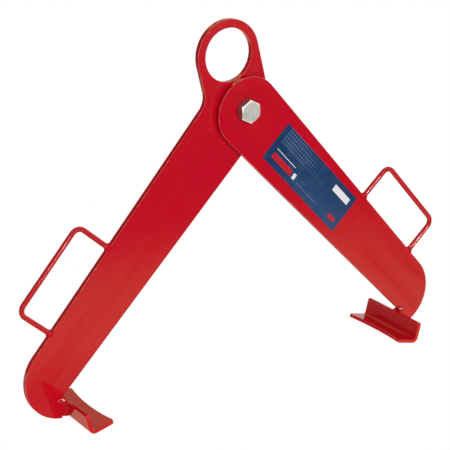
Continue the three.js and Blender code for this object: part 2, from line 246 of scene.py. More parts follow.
def edge_profile(
    low: float, high: float, radius: float, margin: float, steps: int = 4
) -> tuple[Array, Array]:
    """The rim of a plate with rounded edges, from one face round to the other.

    Args:
        low: Place of the first face across the thickness.
        high: Place of the second face.
        radius: Radius of both edges, a quarter circle each.
        margin: How far in from the arcs the first and last points lie, on the flat faces. Half as far past
            the arcs, a point on each end of the straight side keeps it flat.
        steps: Number of steps in each quarter circle.

    Returns:
        How far in from the outline each point lies, and its place across the thickness.
    """
    angle = np.linspace(0, math.pi / 2, steps + 1)
    inset = radius * (1 - np.sin(angle))
    drop = radius * (1 - np.cos(angle))
    guard = min(margin / 2, (high - low) / 2 - radius)
    insets = np.concatenate([[radius + margin], inset, [0, 0], inset[::-1], [radius + margin]])
    side = [low + radius + guard, high - radius - guard]
    places = np.concatenate([[low], low + drop, side, (high - drop)[::-1], [high]])
    return insets, places


def slab(
    outer: Array, holes: list[Array], low: float, high: float, radius: float, margin: float = 0.5
) -> Surface:
    """A flat plate with rounded edges: the rim profile carried round every loop, and two flat faces.

    Args:
        outer: The outline, outward and up.
        holes: Loops cut out of it.
        low: Lower y of the plate.
        high: Higher y.
        radius: Radius of its edges.
        margin: Width of the flat strip inside each edge.

    Returns:
        The closed surface, with points given outward, y and up.
    """
    insets, places = edge_profile(low, high, radius, margin)
    turning = (insets > 0) & (insets < radius)
    points, faces, fronts, backs, rims, start = [], [], [], [], [], 0
    for loop in [anticlockwise(outer)] + [anticlockwise(h)[::-1] for h in holes]:
        mitre = outward(loop)
        rings = loop[None] - insets[:, None, None] * mitre[None]
        rows, columns = rings.shape[:2]
        across = np.broadcast_to(places[:, None], (rows, columns))
        points.append(np.stack([rings[..., 0], across, rings[..., 1]], -1).reshape(-1, 3))
        faces.append(lattice(rows, columns)[:, ::-1] + start)
        rims.append(np.repeat(turning, columns))
        fronts.append(start + np.arange(columns))
        backs.append(start + (rows - 1) * columns + np.arange(columns))
        start += rows * columns
    points = np.vstack(points)
    flat = np.concatenate(fronts)
    loops = [[Vector((x, z, 0)) for x, _, z in points[f].tolist()] for f in fronts]
    cap = np.array(tessellate_polygon(loops))
    corners = points[flat][cap][..., [0, 2]]
    side = np.cross(corners[:, 1] - corners[:, 0], corners[:, 2] - corners[:, 0])
    cap = cap if side.sum() > 0 else cap[:, ::-1]
    faces += [flat[cap], np.concatenate(backs)[cap][:, ::-1]]
    return Surface(points, faces, np.concatenate(rims).astype(np.float32))


# Sizes shared by the pieces


@dataclass(frozen=True)
class PlateSizes:
    """Sizes of the two leg plates."""

    thickness: float = 6.4
    gap: float = 0.3
    width_at_pivot: float = 82.7
    width_at_foot: float = 61.7
    foot_width_distance: float = 357.0
    foot_radius: float = 48.3
    foot_centre_height: float = 34.8
    plain_top_height: float = 35.0
    plain_top_radius: float = 40.2
    shoulder_radius: float = 38.0
    eye_height: float = 67.1
    eye_offset: float = 3.1
    eye_outer_diameter: float = 80.6
    eye_hole_diameter: float = 61.0
    neck_radius: float = 22.0
    bolt_hole_diameter: float = 16.7
    hole_step: float = 3.0
    relief_width: float = 9.8
    relief_slope_width: float = 1.9
    relief_slope_height: float = 1.8
    relief_height: float = 6.2
    edge_radius: float = 0.5
    corner_radius: float = 1.6

    @property
    def taper(self) -> float:
        """How fast each edge of a leg closes in, per length."""
        return (self.width_at_pivot - self.width_at_foot) / 2 / self.foot_width_distance


@dataclass(frozen=True)
class ClawSizes:
    """Sizes of a claw. Its half angle is between its up and the plumb line of its leg."""

    thickness: float = 4.3
    length: float = 100.0
    height: float = 26.0
    lip_length: float = 31.0
    inner_bend: float = 2.8
    drum_radius: float = 286.0
    lip_corner: float = 3.0
    top_corner: float = 1.2
    edge_radius: float = 0.6
    margin: float = 0.5
    gap: float = 0.3
    half_angle: float = 57.3

    @property
    def outer_bend(self) -> float:
        """Radius of the bend's outer face."""
        return self.inner_bend + self.thickness

    @property
    def up(self) -> Array:
        """The claw's up, given outward and up in the leg's frame."""
        spread = math.radians(self.half_angle)
        return np.array([math.sin(spread), math.cos(spread)])

    @property
    def out(self) -> Array:
        """The claw's outward, given outward and up in the leg's frame."""
        spread = math.radians(self.half_angle)
        return np.array([math.cos(spread), -math.sin(spread)])


PLATE = PlateSizes()
CLAW = ClawSizes()


@dataclass(frozen=True)
class Pivot:
    """The bolt's axis, which runs along y."""

    x: float
    z: float

    @classmethod
    def found(cls) -> "Pivot":
        """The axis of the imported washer, from the middle of its box.

        Returns:
            The axis, in millimetres.
        """
        low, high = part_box("pivot_washer")
        middle = (low + high) / 2 / MM
        return cls(middle.x, middle.z)


@dataclass(frozen=True)
class Leg:
    """One leg's place. Its own frame hangs from the pivot, with outward and up turned by its lean."""

    name: str
    side: int
    offset: float
    length: float
    handle_distance: float
    top_weld_height: float
    y: float
    lean: float
    pivot: Pivot

    @property
    def body(self) -> str:
        """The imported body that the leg's pieces ride on."""
        return f"{self.name}_leg"

    def edge(self, outer: bool, height: float) -> float:
        """Outward place of the outer or inner edge at a height."""
        half = PLATE.width_at_pivot / 2 + PLATE.taper * height
        return self.offset + (half if outer else -half)

    def edge_point(self, outer: bool, height: float) -> Array:
        """The point of the outer or inner edge at a height."""
        return np.array([self.edge(outer, height), height])

    @property
    def cut_height(self) -> float:
        """Height over the claw's corner at which the cut edge ends on the inner edge."""
        return CLAW.height + self.top_weld_height + 2 * CLAW.gap

    @property
    def corner(self) -> Array:
        """The claw's sharp outer corner."""
        rise = CLAW.up * self.cut_height + CLAW.out * CLAW.gap
        return np.array([self.edge(False, rise[1] - self.length) - rise[0], -self.length])

    def from_claw(self, out: float, up: float) -> Array:
        """A point given outward and up from the claw's corner, in the claw's turned frame."""
        return self.corner + CLAW.out * out + CLAW.up * up

    def row(self, points: Array) -> Array:
        """Turns points by the leg's lean and moves them to the pivot.

        Args:
            points: Points given outward, y and up in the leg's frame.

        Returns:
            The points in the row's frame.
        """
        turn = math.radians(-self.side * self.lean)
        x, z = self.side * points[:, 0], points[:, 2]
        across = x * math.cos(turn) + z * math.sin(turn) + self.pivot.x
        high = -x * math.sin(turn) + z * math.cos(turn) + self.pivot.z
        return np.stack([across, points[:, 1], high], -1)

    def claw_row(self, points: Array) -> Array:
        """Turns points given inward, y and up in the claw's frame into the row's frame."""
        flat = self.corner - points[:, :1] * CLAW.out + points[:, 2:] * CLAW.up
        return self.row(np.stack([flat[:, 0], points[:, 1], flat[:, 1]], -1))

    def handle_row(self, points: Array) -> Array:
        """Turns points of a handle by the taper of the leg's edge and moves them to it.

        Args:
            points: Points given out, y and along, from the handle's middle on the edge.

        Returns:
            The points in the row's frame.
        """
        angle = math.atan(PLATE.taper)
        out = np.array([math.cos(angle), -math.sin(angle)])
        along = np.array([math.sin(angle), math.cos(angle)])
        start = self.edge_point(True, -self.handle_distance)
        flat = start + points[:, :1] * out + points[:, 2:] * along
        return self.row(np.stack([flat[:, 0], points[:, 1], flat[:, 1]], -1))


def make_legs(pivot: Pivot) -> tuple[Leg, Leg]:
    """The rear leg, which carries the eye, and the front leg, both standing on the floor.

    Args:
        pivot: The bolt's axis.

    Returns:
        The rear leg and the front leg. The front leg's lean brings its bend down to the rear one's height.
    """
    y = (PLATE.thickness + PLATE.gap) / 2
    rear = Leg(
        "eye", -1, offset=3.8, length=395.2, handle_distance=273.2, top_weld_height=6.4,
        y=y, lean=43.3, pivot=pivot,
    )
    front = Leg(
        "plain", 1, offset=0.7, length=392.3, handle_distance=275.4, top_weld_height=2.7,
        y=-y, lean=0.0, pivot=pivot,
    )
    back, fore = (leg.from_claw(-CLAW.outer_bend, CLAW.outer_bend) for leg in (rear, front))
    lean = math.radians(rear.lean)
    drop = -(back[0] * math.sin(lean) + back[1] * math.cos(lean))
    found = math.acos(drop / float(np.linalg.norm(fore))) + math.atan2(fore[0], fore[1]) + math.pi
    return rear, replace(front, lean=math.degrees(found) % 360)


# Shader nodes


@dataclass(frozen=True)
class Pattern:
    """Noise or cells: features a metre, octaves, roughness, distortion, and where it sets in and is full."""

    scale: float
    detail: float = 2.0
    rough: float = 0.5
    bend: float = 0.0
    edge: Pair | None = None


@dataclass(frozen=True)
class Layer:
    """Something over a finish: how far its colour shows, its colour, and what it adds to the roughness."""

    share: float
    colour: Colour
    rough: float = 0.0


class Socket:
    """A node's output, on which sums are written as Python expressions."""

    def __init__(self, shader: "Shader", output: bpy.types.NodeSocket | None) -> None:
        """Wraps one output of a node in a shader."""
        self.shader = shader
        self.output = output

    def maths(self, operation: str, other: "Socket | float | None" = None, flip: bool = False) -> "Socket":
        """One Math node on this value and another.

        Args:
            operation: The node's operation.
            other: The second value.
            flip: Whether the second value comes first.

        Returns:
            The node's result.
        """
        values = [self, other] if other is not None else [self]
        values = values[::-1] if flip else values
        return self.shader.add("ShaderNodeMath", {"operation": operation}, dict(enumerate(values)))

    def __add__(self, other: "Socket | float") -> "Socket":
        """This plus other."""
        return self.maths("ADD", other)

    __radd__ = __add__

    def __mul__(self, other: "Socket | float") -> "Socket":
        """This times other."""
        return self.maths("MULTIPLY", other)

    __rmul__ = __mul__

    def __sub__(self, other: "Socket | float") -> "Socket":
        """This less other."""
        return self.maths("SUBTRACT", other)

    def __rsub__(self, other: float) -> "Socket":
        """Other less this."""
        return self.maths("SUBTRACT", other, flip=True)

    def __pow__(self, other: float) -> "Socket":
        """This to the power of other."""
        return self.maths("POWER", other)

    def swing(self, amount: float) -> "Socket":
        """How far a noise stands from its middle value, times amount."""
        return (self - 0.5) * amount

    def step(self, low: float, high: float) -> "Socket":
        """Rises smoothly from 0 at low to 1 at high, and falls where high is the lower.

        Args:
            low: Where it is 0.
            high: Where it is 1.

        Returns:
            A value from 0 to 1.
        """
        values = {0: self, 1: min(low, high), 2: max(low, high)}
        risen = self.shader.add("ShaderNodeMapRange", {"interpolation_type": "SMOOTHSTEP"}, values)
        return risen if low < high else 1 - risen

    def cut(self, edge: Pair | None) -> "Socket":
        """This value stepped over an edge, or as it is where there is none."""
        return self.step(*edge) if edge else self

    def band(self, middle: float, half: float, soft: float) -> "Socket":
        """1 within half of middle, and 0 past soft beyond that."""
        return (self - middle).maths("ABSOLUTE").step(half + soft, half)


class Shader:
    """The node tree of a material or a world, and one method that adds any node."""

    gloss_loss: float = 0.9

    def __init__(self, name: str, world: bpy.types.World | None = None) -> None:
        """Empties the tree of the world, or of a new material.

        Args:
            name: The new material's name.
            world: The world, where it is a world's tree.
        """
        self.owner = world or bpy.data.materials.new(name)
        self.owner.use_nodes = True
        self.tree = self.owner.node_tree
        self.tree.nodes.clear()

    def add(
        self, kind: str, settings: dict | None = None, sockets: dict | None = None, out: int | str = 0
    ) -> Socket:
        """Adds a node.

        Args:
            kind: The node's type.
            settings: Its properties, set first.
            sockets: Values or links of its inputs, by name or number.
            out: The output that is wanted.

        Returns:
            That output, which is empty on an output node.
        """
        node = self.tree.nodes.new(kind)
        for key, value in (settings or {}).items():
            setattr(node, key, value)
        for key, value in (sockets or {}).items():
            if isinstance(value, Socket):
                self.tree.links.new(value.output, node.inputs[key])
            else:
                node.inputs[key].default_value = value
        return Socket(self, node.outputs[out] if node.outputs else None)

    def place(self) -> Socket:
        """Object coordinates, which are metres in the row's frame."""
        return self.add("ShaderNodeTexCoord", out="Object")

    def along(self, vector: Socket, axis: str) -> Socket:
        """One axis of a vector."""
        return self.add("ShaderNodeSeparateXYZ", {}, {"Vector": vector}, axis)

    def ray(self, kind: str) -> Socket:
        """1 for rays of a kind and 0 for others."""
        return self.add("ShaderNodeLightPath", out=f"Is {kind} Ray")

    def seen(self) -> Socket:
        """1 for rays from the camera, off gloss or through glass, and 0 for rays that only light things."""
        camera, gloss, glass = (self.ray(kind) for kind in ("Camera", "Glossy", "Transmission"))
        return camera.maths("MAXIMUM", gloss).maths("MAXIMUM", glass)

    def noise(self, at: Socket, p: Pattern) -> Socket:
        """Soft noise of a pattern."""
        values = {"Scale": p.scale, "Detail": p.detail, "Roughness": p.rough, "Distortion": p.bend}
        return self.add("ShaderNodeTexNoise", {}, {"Vector": at, **values}).cut(p.edge)

    def cells(self, at: Socket, p: Pattern, feature: str = "F1") -> Socket:
        """Distances from the middles of a pattern's cells."""
        values = {"Vector": at, "Scale": p.scale}
        return self.add("ShaderNodeTexVoronoi", {"feature": feature}, values, "Distance").cut(p.edge)

    def mix(self, amount: "Socket | float", first: "Socket | Colour", second: "Socket | Colour") -> Socket:
        """A colour between two."""
        ends = {i: (c if isinstance(c, Socket) else (*c, 1)) for i, c in ((6, first), (7, second))}
        return self.add("ShaderNodeMix", {"data_type": "RGBA"}, {0: amount, **ends}, 2)

    def over(self, shade: Socket, amount: Socket, layer: Layer) -> Socket:
        """A colour with a layer's colour over it."""
        return self.mix(amount * layer.share, shade, layer.colour)

    def vector(self, operation: str, first: Socket, second: Triple, out: int | str = 0) -> Socket:
        """One Vector Math node on a vector and a fixed one."""
        return self.add("ShaderNodeVectorMath", {"operation": operation}, {0: first, 1: second}, out)

    def turned(self, at: Socket, angles: Triple, scale: Triple) -> Socket:
        """Coordinates turned and then stretched.

        Args:
            at: The coordinates.
            angles: Turns about the three axes, in degrees.
            scale: How far each axis is stretched.

        Returns:
            The new coordinates.
        """
        values = {"Vector": at, "Rotation": tuple(math.radians(a) for a in angles)}
        turn = self.add("ShaderNodeVectorRotate", {"rotation_type": "EULER_XYZ"}, values)
        return self.vector("MULTIPLY", turn, scale)

    def bump(self, heights: list[tuple[Socket, float]]) -> Socket:
        """Stacks heights into one normal.

        Args:
            heights: Pairs of a height and its depth in metres.

        Returns:
            The normal.
        """
        normal = None
        for height, depth in heights:
            values = {"Height": height, "Distance": depth, "Strength": 1.0}
            values |= {} if normal is None else {"Normal": normal}
            normal = self.add("ShaderNodeBump", {}, values)
        return normal

    def blend(self, amount: Socket, first: Socket, second: Socket) -> Socket:
        """A surface between two."""
        return self.add("ShaderNodeMixShader", {}, {0: amount, 1: first, 2: second})

    def finish(self, sockets: dict, dull: Socket | None = None) -> bpy.types.Material:
        """Adds the Principled BSDF with these socket values and joins it to the output.

        Args:
            sockets: Values or links of its inputs.
            dull: Where the surface has no gloss.

        Returns:
            The material.
        """
        surface = self.add("ShaderNodeBsdfPrincipled", {}, sockets)
        if dull is not None:
            flat = self.add("ShaderNodeBsdfPrincipled", {}, {**sockets, "Specular IOR Level": 0.0})
            surface = self.blend(dull * self.gloss_loss, surface, flat)
        self.add("ShaderNodeOutputMaterial", {}, {"Surface": surface})
        return self.owner


# Finishes


class Wear(Enum):
    """What a painted piece is or went through."""

    PLATE = "plate"
    RUBBED = "rubbed"
    SMALL = "small"
    # The claws' paint: the same red, raised as painted light.
    CLAW = "claw"
    WELD = "weld"


@dataclass(frozen=True)
class Paint:
    """Glossy red powder coat over steel: drag marks along the legs, pale worn edges and pale specks on
    welds.

    It also carries painted light: the legs turn paler towards their lower ends as a painted reflection,
    the edges and weld specks partly stand in for highlights, weld crowns carry painted glints, the claws'
    red is raised, and a corner beside the rear claw has its gloss turned off as a painted reflection.
    """

    # deep is the crimson and light the paler red between which the tone mixes; the paler red low on the legs
    # is a painted reflection.
    deep: Colour = (0.496, 0.0012, 0.0135)
    light: Colour = (0.500, 0.0036, 0.0120)
    # Near-white of the painted glints on the weld crowns.
    glint_white: Colour = (1.0, 0.93, 0.85)
    dust: Layer = Layer(0.10, (0.78, 0.42, 0.40), 0.12)
    scratch: Layer = Layer(0.05, (0.80, 0.30, 0.28), 0.10)
    # Pale layer on the rounded edges: paint worn over the edges, and partly a painted highlight for the
    # bright lines that the edges catch. On welds the rim lies on the crown, which the weld layer lightens as
    # a painted sheen.
    edge: Layer = Layer(0.32, (0.82, 0.40, 0.34))
    weld_edge_and_sheen: Layer = Layer(0.06, (0.82, 0.40, 0.34))
    # Pale specks on the welds: paint worn off the lumps, and partly painted highlights for the light specks
    # that lumpy welds catch.
    bare_and_highlight: Layer = Layer(0.16, (0.86, 0.74, 0.66))
    rubbed: Layer = Layer(0.50, (0.78, 0.20, 0.08), 0.16)
    roughness: float = 0.13
    small_roughness: float = 0.0715
    specular: float = 0.36
    lean: float = 43.3
    # Painted light: the claws' red channel is raised by this factor, so that they render lighter than the
    # plates.
    claw_painted_light_lift: float = 1.11
    cloud_tone: float = 0.82
    cloud_start: float = 0.3
    cloud_share: float = 0.22
    cloud_rough: float = 0.08
    # Painted reflection: the legs' lower parts are painted paler by this height step and its share.
    heights: Pair = (0.27, 0.10)
    painted_low_sheen_share: float = 0.75
    drift_share: float = 1.2
    streak_share: float = 1.6
    tone_and_painted_sheen: Pair = (0.05, 0.85)
    drift: Pattern = Pattern(5.0, 1.5, 0.5, 0.6)
    streak: Pattern = Pattern(1.0, 2.0, 0.55, 0.4)
    streak_scale: Triple = (34.0, 10.0, 3.5)
    streak_dull: Pair = (0.50, 0.68)
    streak_loss: float = 0.40
    drag: Pattern = Pattern(1.0, 2.0, 0.6, edge=(0.54, 0.72))
    drag_scale: Triple = (150.0, 10.0, 6.0)
    drag_loss: float = 0.30
    cloud: Pattern = Pattern(38.0, 3.0, 0.6)
    specks: Pattern = Pattern(520.0, edge=(0.16, 0.09))
    speck_patch: Pattern = Pattern(45.0, 1.0, edge=(0.56, 0.70))
    thin_edge_and_highlight: Pattern = Pattern(110.0, edge=(0.40, 0.62))
    thin_least: float = 0.35
    peel: Pattern = Pattern(240.0)
    peel_depth: float = 0.000022
    small_peel_depth: float = 0.000004
    warp: Pattern = Pattern(26.0, 1.0)
    warp_depth: float = 0.00010
    weld_skin: Pattern = Pattern(700.0, 3.0, 0.6)
    weld_depth: float = 0.00003
    bare_flecks_and_highlights: Pattern = Pattern(520.0, edge=(0.30, 0.22))
    fleck_patch: Pattern = Pattern(150.0, 1.0, edge=(0.58, 0.64))
    fleck_gloss: float = 0.5
    # Painted glints: cells on the weld crowns painted near-white and left glossy.
    painted_glints: Pattern = Pattern(420.0, edge=(0.34, 0.27))
    glint_rim: Pair = (0.35, 0.6)
    weld_loss: float = 0.85
    # Painted reflection: the corner beside the rear claw whose gloss is turned off.
    reflection_side: tuple[float, Pair] = (0.31, (-0.2495, -0.2482))
    reflection_top: tuple[float, Pair] = (0.83, (-0.1622, -0.1640))
    reflection_end: Pair = (-0.215, -0.225)
    line_angles: Triple = (28.0, -52.0, 73.0)
    line_scale: Triple = (14.0, 14.0, 1100.0)
    line: Pattern = Pattern(1.0, 0.0, edge=(0.29, 0.27))
    line_patch: Pattern = Pattern(16.0, 1.0, edge=(0.57, 0.66))
    line_patch_turn: float = 40.0
    wide_arc: Triple = (0.0475, 0.0022, 0.0030)
    fine_arc: Triple = (0.0440, 0.0002, 0.0005)
    fine_share: float = 0.2
    arc_breaks: Pattern = Pattern(70.0, edge=(0.48, 0.62))
    arc_specks: Pattern = Pattern(700.0, edge=(0.40, 0.22))
    arc_patch: Pattern = Pattern(200.0, 1.0, edge=(0.50, 0.62))
    fine_breaks: Pattern = Pattern(60.0, 1.0, edge=(0.45, 0.6))

    def material(self, wear: Wear, pivot: Pivot) -> bpy.types.Material:
        """Builds the paint for one kind of piece.

        Args:
            wear: What the piece is or went through.
            pivot: The bolt's axis, round which the rear plate is rubbed.

        Returns:
            The material.
        """
        s = Shader(f"red_paint_{wear.value}")
        at = s.place()
        lean = -self.lean if wear is Wear.RUBBED else self.lean
        streak = s.noise(s.turned(at, (0, lean, 0), self.streak_scale), self.streak)
        # Painted reflection: the tone turns paler towards the legs' lower ends, and drift and streak noise
        # add random tone.
        low = s.along(at, "Z").step(*self.heights) * self.painted_low_sheen_share
        tone_and_painted_sheen = low + s.noise(at, self.drift).swing(self.drift_share) + streak.swing(self.streak_share)
        # Painted light: the claws' red is raised.
        lift = self.claw_painted_light_lift if wear is Wear.CLAW else 1.0
        deep, light = ((c[0] * lift, *c[1:]) for c in (self.deep, self.light))
        shade = s.mix(tone_and_painted_sheen.step(*self.tone_and_painted_sheen), deep, light)
        cloud = s.noise(at, self.cloud)
        clouded = tuple(self.cloud_tone * c for c in deep)
        shade = s.mix((cloud - self.cloud_start) * self.cloud_share, shade, clouded)
        dust = s.cells(at, self.specks) * s.noise(at, self.speck_patch)
        lines = self.scratches(s, at)
        shade = s.over(s.over(shade, dust, self.dust), lines, self.scratch)
        # Pale edges: worn paint and partly a painted highlight along the rounded edges; on crowned welds a
        # painted sheen on the crown.
        rim = s.add("ShaderNodeAttribute", {"attribute_name": "rim"}, out="Fac")
        thin_edge_and_highlight = rim * (s.noise(at, self.thin_edge_and_highlight) * (1 - self.thin_least) + self.thin_least)
        shade = s.over(shade, thin_edge_and_highlight, self.weld_edge_and_sheen if wear is Wear.WELD else self.edge)

        small = wear in (Wear.SMALL, Wear.CLAW)
        smooth = self.small_roughness if small else self.roughness
        rough = smooth + cloud.swing(self.cloud_rough) + dust * self.dust.rough + lines * self.scratch.rough
        bumps = [(s.noise(at, self.peel), self.small_peel_depth if small else self.peel_depth)]
        dull = None
        if wear is Wear.WELD:
            bumps.append((s.noise(at, self.weld_skin), self.weld_depth))
            # Pale specks on welds: worn paint and partly painted highlights.
            bare_flecks_and_highlights = s.cells(at, self.bare_flecks_and_highlights) * s.noise(at, self.fleck_patch)
            # Painted glints: near-white spots on the weld crown.
            painted_glints = s.cells(at, self.painted_glints) * rim.step(*self.glint_rim)
            shade = s.mix(painted_glints, s.over(shade, bare_flecks_and_highlights, self.bare_and_highlight), self.glint_white)
            dull = self.weld_loss - painted_glints * self.weld_loss - bare_flecks_and_highlights * self.fleck_gloss
        if wear in (Wear.PLATE, Wear.RUBBED):
            bumps.append((s.noise(at, self.warp), self.warp_depth))
            drag = s.noise(s.turned(at, (0, lean, 0), self.drag_scale), self.drag)
            dull = streak.step(*self.streak_dull) * self.streak_loss + drag * self.drag_loss
        if wear is Wear.RUBBED:
            rub = self.rub(s, at, pivot)
            shade, rough = s.over(shade, rub, self.rubbed), rough + rub * self.rubbed.rough
            # Painted reflection: gloss turned off in the corner beside the rear claw.
            dull = dull.maths("MAXIMUM", self.claw_reflection_patch(s, at))
        gloss = {"Roughness": rough, "Specular IOR Level": self.specular}
        return s.finish({"Base Color": shade, "Normal": s.bump(bumps), **gloss}, dull)

    def claw_reflection_patch(self, s: Shader, at: Socket) -> Socket:
        """A corner beside the rear claw with its gloss turned off, as a painted reflection: the darker patch
        stands in for the claw's image mirrored in the plate.

        Args:
            s: The shader.
            at: Coordinates.

        Returns:
            1 in the corner and 0 elsewhere.
        """
        x, z = (s.along(at, axis) for axis in "XZ")
        inside = (x + z * self.reflection_side[0]).step(*self.reflection_side[1])
        under = (x * self.reflection_top[0] + z).step(*self.reflection_top[1])
        return inside * under * x.step(*self.reflection_end)

    def scratches(self, s: Shader, at: Socket) -> Socket:
        """Thin pale lines in three directions, in patches.

        Args:
            s: The shader.
            at: Coordinates.

        Returns:
            1 on a line and 0 elsewhere.
        """
        total = None
        for angle in self.line_angles:
            line = s.noise(s.turned(at, (0, angle, 0), self.line_scale), self.line)
            line = line * s.noise(s.turned(at, (0, angle, self.line_patch_turn), (1, 1, 1)), self.line_patch)
            total = line if total is None else total.maths("MAXIMUM", line)
        return total

    def rub(self, s: Shader, at: Socket, pivot: Pivot) -> Socket:
        """Arcs that the front leg's edge has rubbed round the bolt.

        Args:
            s: The shader.
            at: Coordinates.
            pivot: The bolt's axis.

        Returns:
            1 in an arc and 0 elsewhere.
        """
        flat = s.vector("MULTIPLY", at, (1, 0, 1))
        away = s.vector("DISTANCE", flat, (pivot.x * MM, 0, pivot.z * MM), "Value")
        specks = s.cells(at, self.arc_specks) * s.noise(at, self.arc_patch)
        wide = away.band(*self.wide_arc) * s.noise(at, self.arc_breaks) * specks
        fine = away.band(*self.fine_arc) * s.noise(at, self.fine_breaks)
        return wide.maths("MAXIMUM", fine * self.fine_share)


@dataclass(frozen=True)
class Zinc:
    """Dull bright zinc plate on a fastener. The head's flanks carry a painted reflection: a dark brown layer
    for the red plate that they face.
    """

    slot: str = "zinc"
    light: Colour = (0.97, 0.98, 1.00)
    dark: Colour = (0.655, 0.695, 0.81)
    tint: Layer = Layer(0.6, (0.88, 0.915, 1.00))
    # Painted reflection on the head's flanks: dark brown for the red plate beside them.
    painted_flank_reflection: Layer = Layer(0.75, (0.20, 0.080, 0.050))
    cloud: Pattern = Pattern(520.0, 5.0, 0.70, 0.6)
    cloud_edge: Pair = (0.38, 0.62)
    tint_patch: Pattern = Pattern(160.0, edge=(0.52, 0.70))
    side: Pair = (0.35, 0.15)
    head: Pair = (-0.0050, -0.0065)
    pits: Pattern = Pattern(800.0, 3.0, 0.6)
    pit_depth: float = 0.00006
    grain: Pattern = Pattern(1300.0)
    grain_depth: float = 0.00003
    rough_swing: float = 0.30
    metallic: float = 0.8
    roughness: float = 0.40

    def material(self) -> bpy.types.Material:
        """Builds the plating, with its clouds, tint and fine pits.

        Returns:
            The material.
        """
        s = Shader("zinc_plate")
        at = s.place()
        cloud = s.noise(at, self.cloud)
        tone = s.mix(cloud.cut(self.cloud_edge), self.dark, self.light)
        tone = s.over(tone, s.noise(at, self.tint_patch), self.tint)
        # Painted reflection: the sideways faces of the head are darkened brown.
        facing = s.along(s.add("ShaderNodeTexCoord", out="Normal"), "Y")
        side = facing.maths("ABSOLUTE").step(*self.side)
        tone = s.over(tone, side * s.along(at, "Y").step(*self.head), self.painted_flank_reflection)
        pits, grain = s.noise(at, self.pits), s.cells(at, self.grain, "SMOOTH_F1")
        normal = s.bump([(pits, self.pit_depth), (grain, self.grain_depth)])
        rough = self.roughness + cloud.swing(self.rough_swing)
        sockets = {"Base Color": tone, "Metallic": self.metallic, "Roughness": rough, "Normal": normal}
        return s.finish(sockets)


@dataclass(frozen=True)
class Nylon:
    """Natural nylon of the nut's locking ring, slightly clouded and matt."""

    slot: str = "nylon"
    colour: Colour = (0.80, 0.79, 0.72)
    shade: Colour = (0.688, 0.6794, 0.6192)
    cloud: Pattern = Pattern(300.0, 3.0)
    grain: Pattern = Pattern(1200.0)
    grain_depth: float = 0.00002
    roughness: float = 0.5
    rough_swing: float = 0.1

    def material(self) -> bpy.types.Material:
        """Builds the nylon.

        Returns:
            The material.
        """
        s = Shader("natural_nylon")
        at = s.place()
        cloud = s.noise(at, self.cloud)
        tone = s.mix(cloud, self.colour, self.shade)
        rough = self.roughness + cloud.swing(self.rough_swing)
        normal = s.bump([(s.noise(at, self.grain), self.grain_depth)])
        return s.finish({"Base Color": tone, "Roughness": rough, "Normal": normal})


@dataclass(frozen=True)
class LabelPrint:
    """A plain printed film: a dot screen, bars and a blank writing strip, with no lettering.

    Each mark is a filled rectangle: its middle and its sides, down and across, and its colour.
    """

    slot: str = "label"
    navy: Colour = (0.0100, 0.0380, 0.1130)
    blue: Colour = (0.0200, 0.0560, 0.1480)
    pale: Colour = (0.1050, 0.1700, 0.3000)
    white: Colour = (0.72, 0.73, 0.74)
    red: Colour = (0.50, 0.010, 0.022)
    width: float = 50.0
    length: float = 152.0
    soft: float = 0.15
    glow_down: Pair = (8.0, 90.0)
    glow_across: Pair = (50.0, 8.0)
    marks: tuple[tuple[Pair, Pair, Colour], ...] = (
        ((29.0, 11.5), (38.0, 7.0), red),
        ((29.0, 20.0), (38.0, 0.7), white),
        ((54.0, 11.5), (5.0, 7.0), white),
        ((84.0, 8.5), (44.0, 0.5), pale),
        ((128.0, 39.0), (32.0, 8.0), white),
        ((137.5, 10.5), (13.0, 5.0), red),
    )
    dot_pitch: float = 4.0
    dot_radius: float = 1.5
    dot_loss: float = 1.4
    dot_fade: Pair = (20.0, 126.0)
    dot_side: Pair = (27.0, 28.0)
    dot_top: Pair = (7.0, 8.0)
    dot_share: float = 0.55
    haze: Pattern = Pattern(60.0)
    haze_edge: Pair = (0.45, 0.8)
    haze_over: Layer = Layer(0.04, (0.5, 0.5, 0.5))
    roughness: float = 0.17
    specular: float = 0.3
    rough_swing: float = 0.10
    waves: Pattern = Pattern(90.0, 1.0)
    wave_depth: float = 0.00005
    grain: Pattern = Pattern(1500.0, 1.0)
    grain_depth: float = 0.000004

    def dots(self, down: Socket, across: Socket) -> Socket:
        """A screen of round dots that shrink to nothing down the label.

        Args:
            down: Distance down the label.
            across: Distance across it.

        Returns:
            1 in a dot and 0 elsewhere.
        """
        away = [(v.maths("MODULO", self.dot_pitch) - self.dot_pitch / 2) ** 2.0 for v in (down, across)]
        radius = self.dot_radius - down.step(*self.dot_fade) * self.dot_loss
        dot = ((away[0] + away[1]).maths("SQRT") - radius).step(self.soft, -self.soft)
        return dot * across.step(*self.dot_side) * down.step(*self.dot_top)

    def material(self) -> bpy.types.Material:
        """Builds the print on the label's own UV map, which runs 0 to 1 across and down it.

        Returns:
            The material.
        """
        s = Shader("label_print")
        uv = s.add("ShaderNodeUVMap", {"uv_map": "label"})
        across, down = s.along(uv, "X") * self.width, s.along(uv, "Y") * self.length
        tone = s.mix(down.step(*self.glow_down) * across.step(*self.glow_across), self.navy, self.blue)
        tone = s.mix(self.dots(down, across) * self.dot_share, tone, self.pale)
        for middle, size, colour in self.marks:
            (low, aside), (tall, wide) = middle, size
            inside = down.band(low, tall / 2, self.soft) * across.band(aside, wide / 2, self.soft)
            tone = s.mix(inside, tone, colour)
        at = s.place()
        haze = s.noise(at, self.haze)
        tone = s.over(tone, haze.cut(self.haze_edge), self.haze_over)
        waves, grain = s.noise(at, self.waves), s.noise(at, self.grain)
        fine = s.bump([(waves, self.wave_depth), (grain, self.grain_depth)])
        rough = self.roughness + haze.swing(self.rough_swing)
        gloss = {"Roughness": rough, "Specular IOR Level": self.specular}
        return s.finish({"Base Color": tone, "Normal": fine, **gloss})


Finish = Wear | Zinc | Nylon | LabelPrint


# Pieces


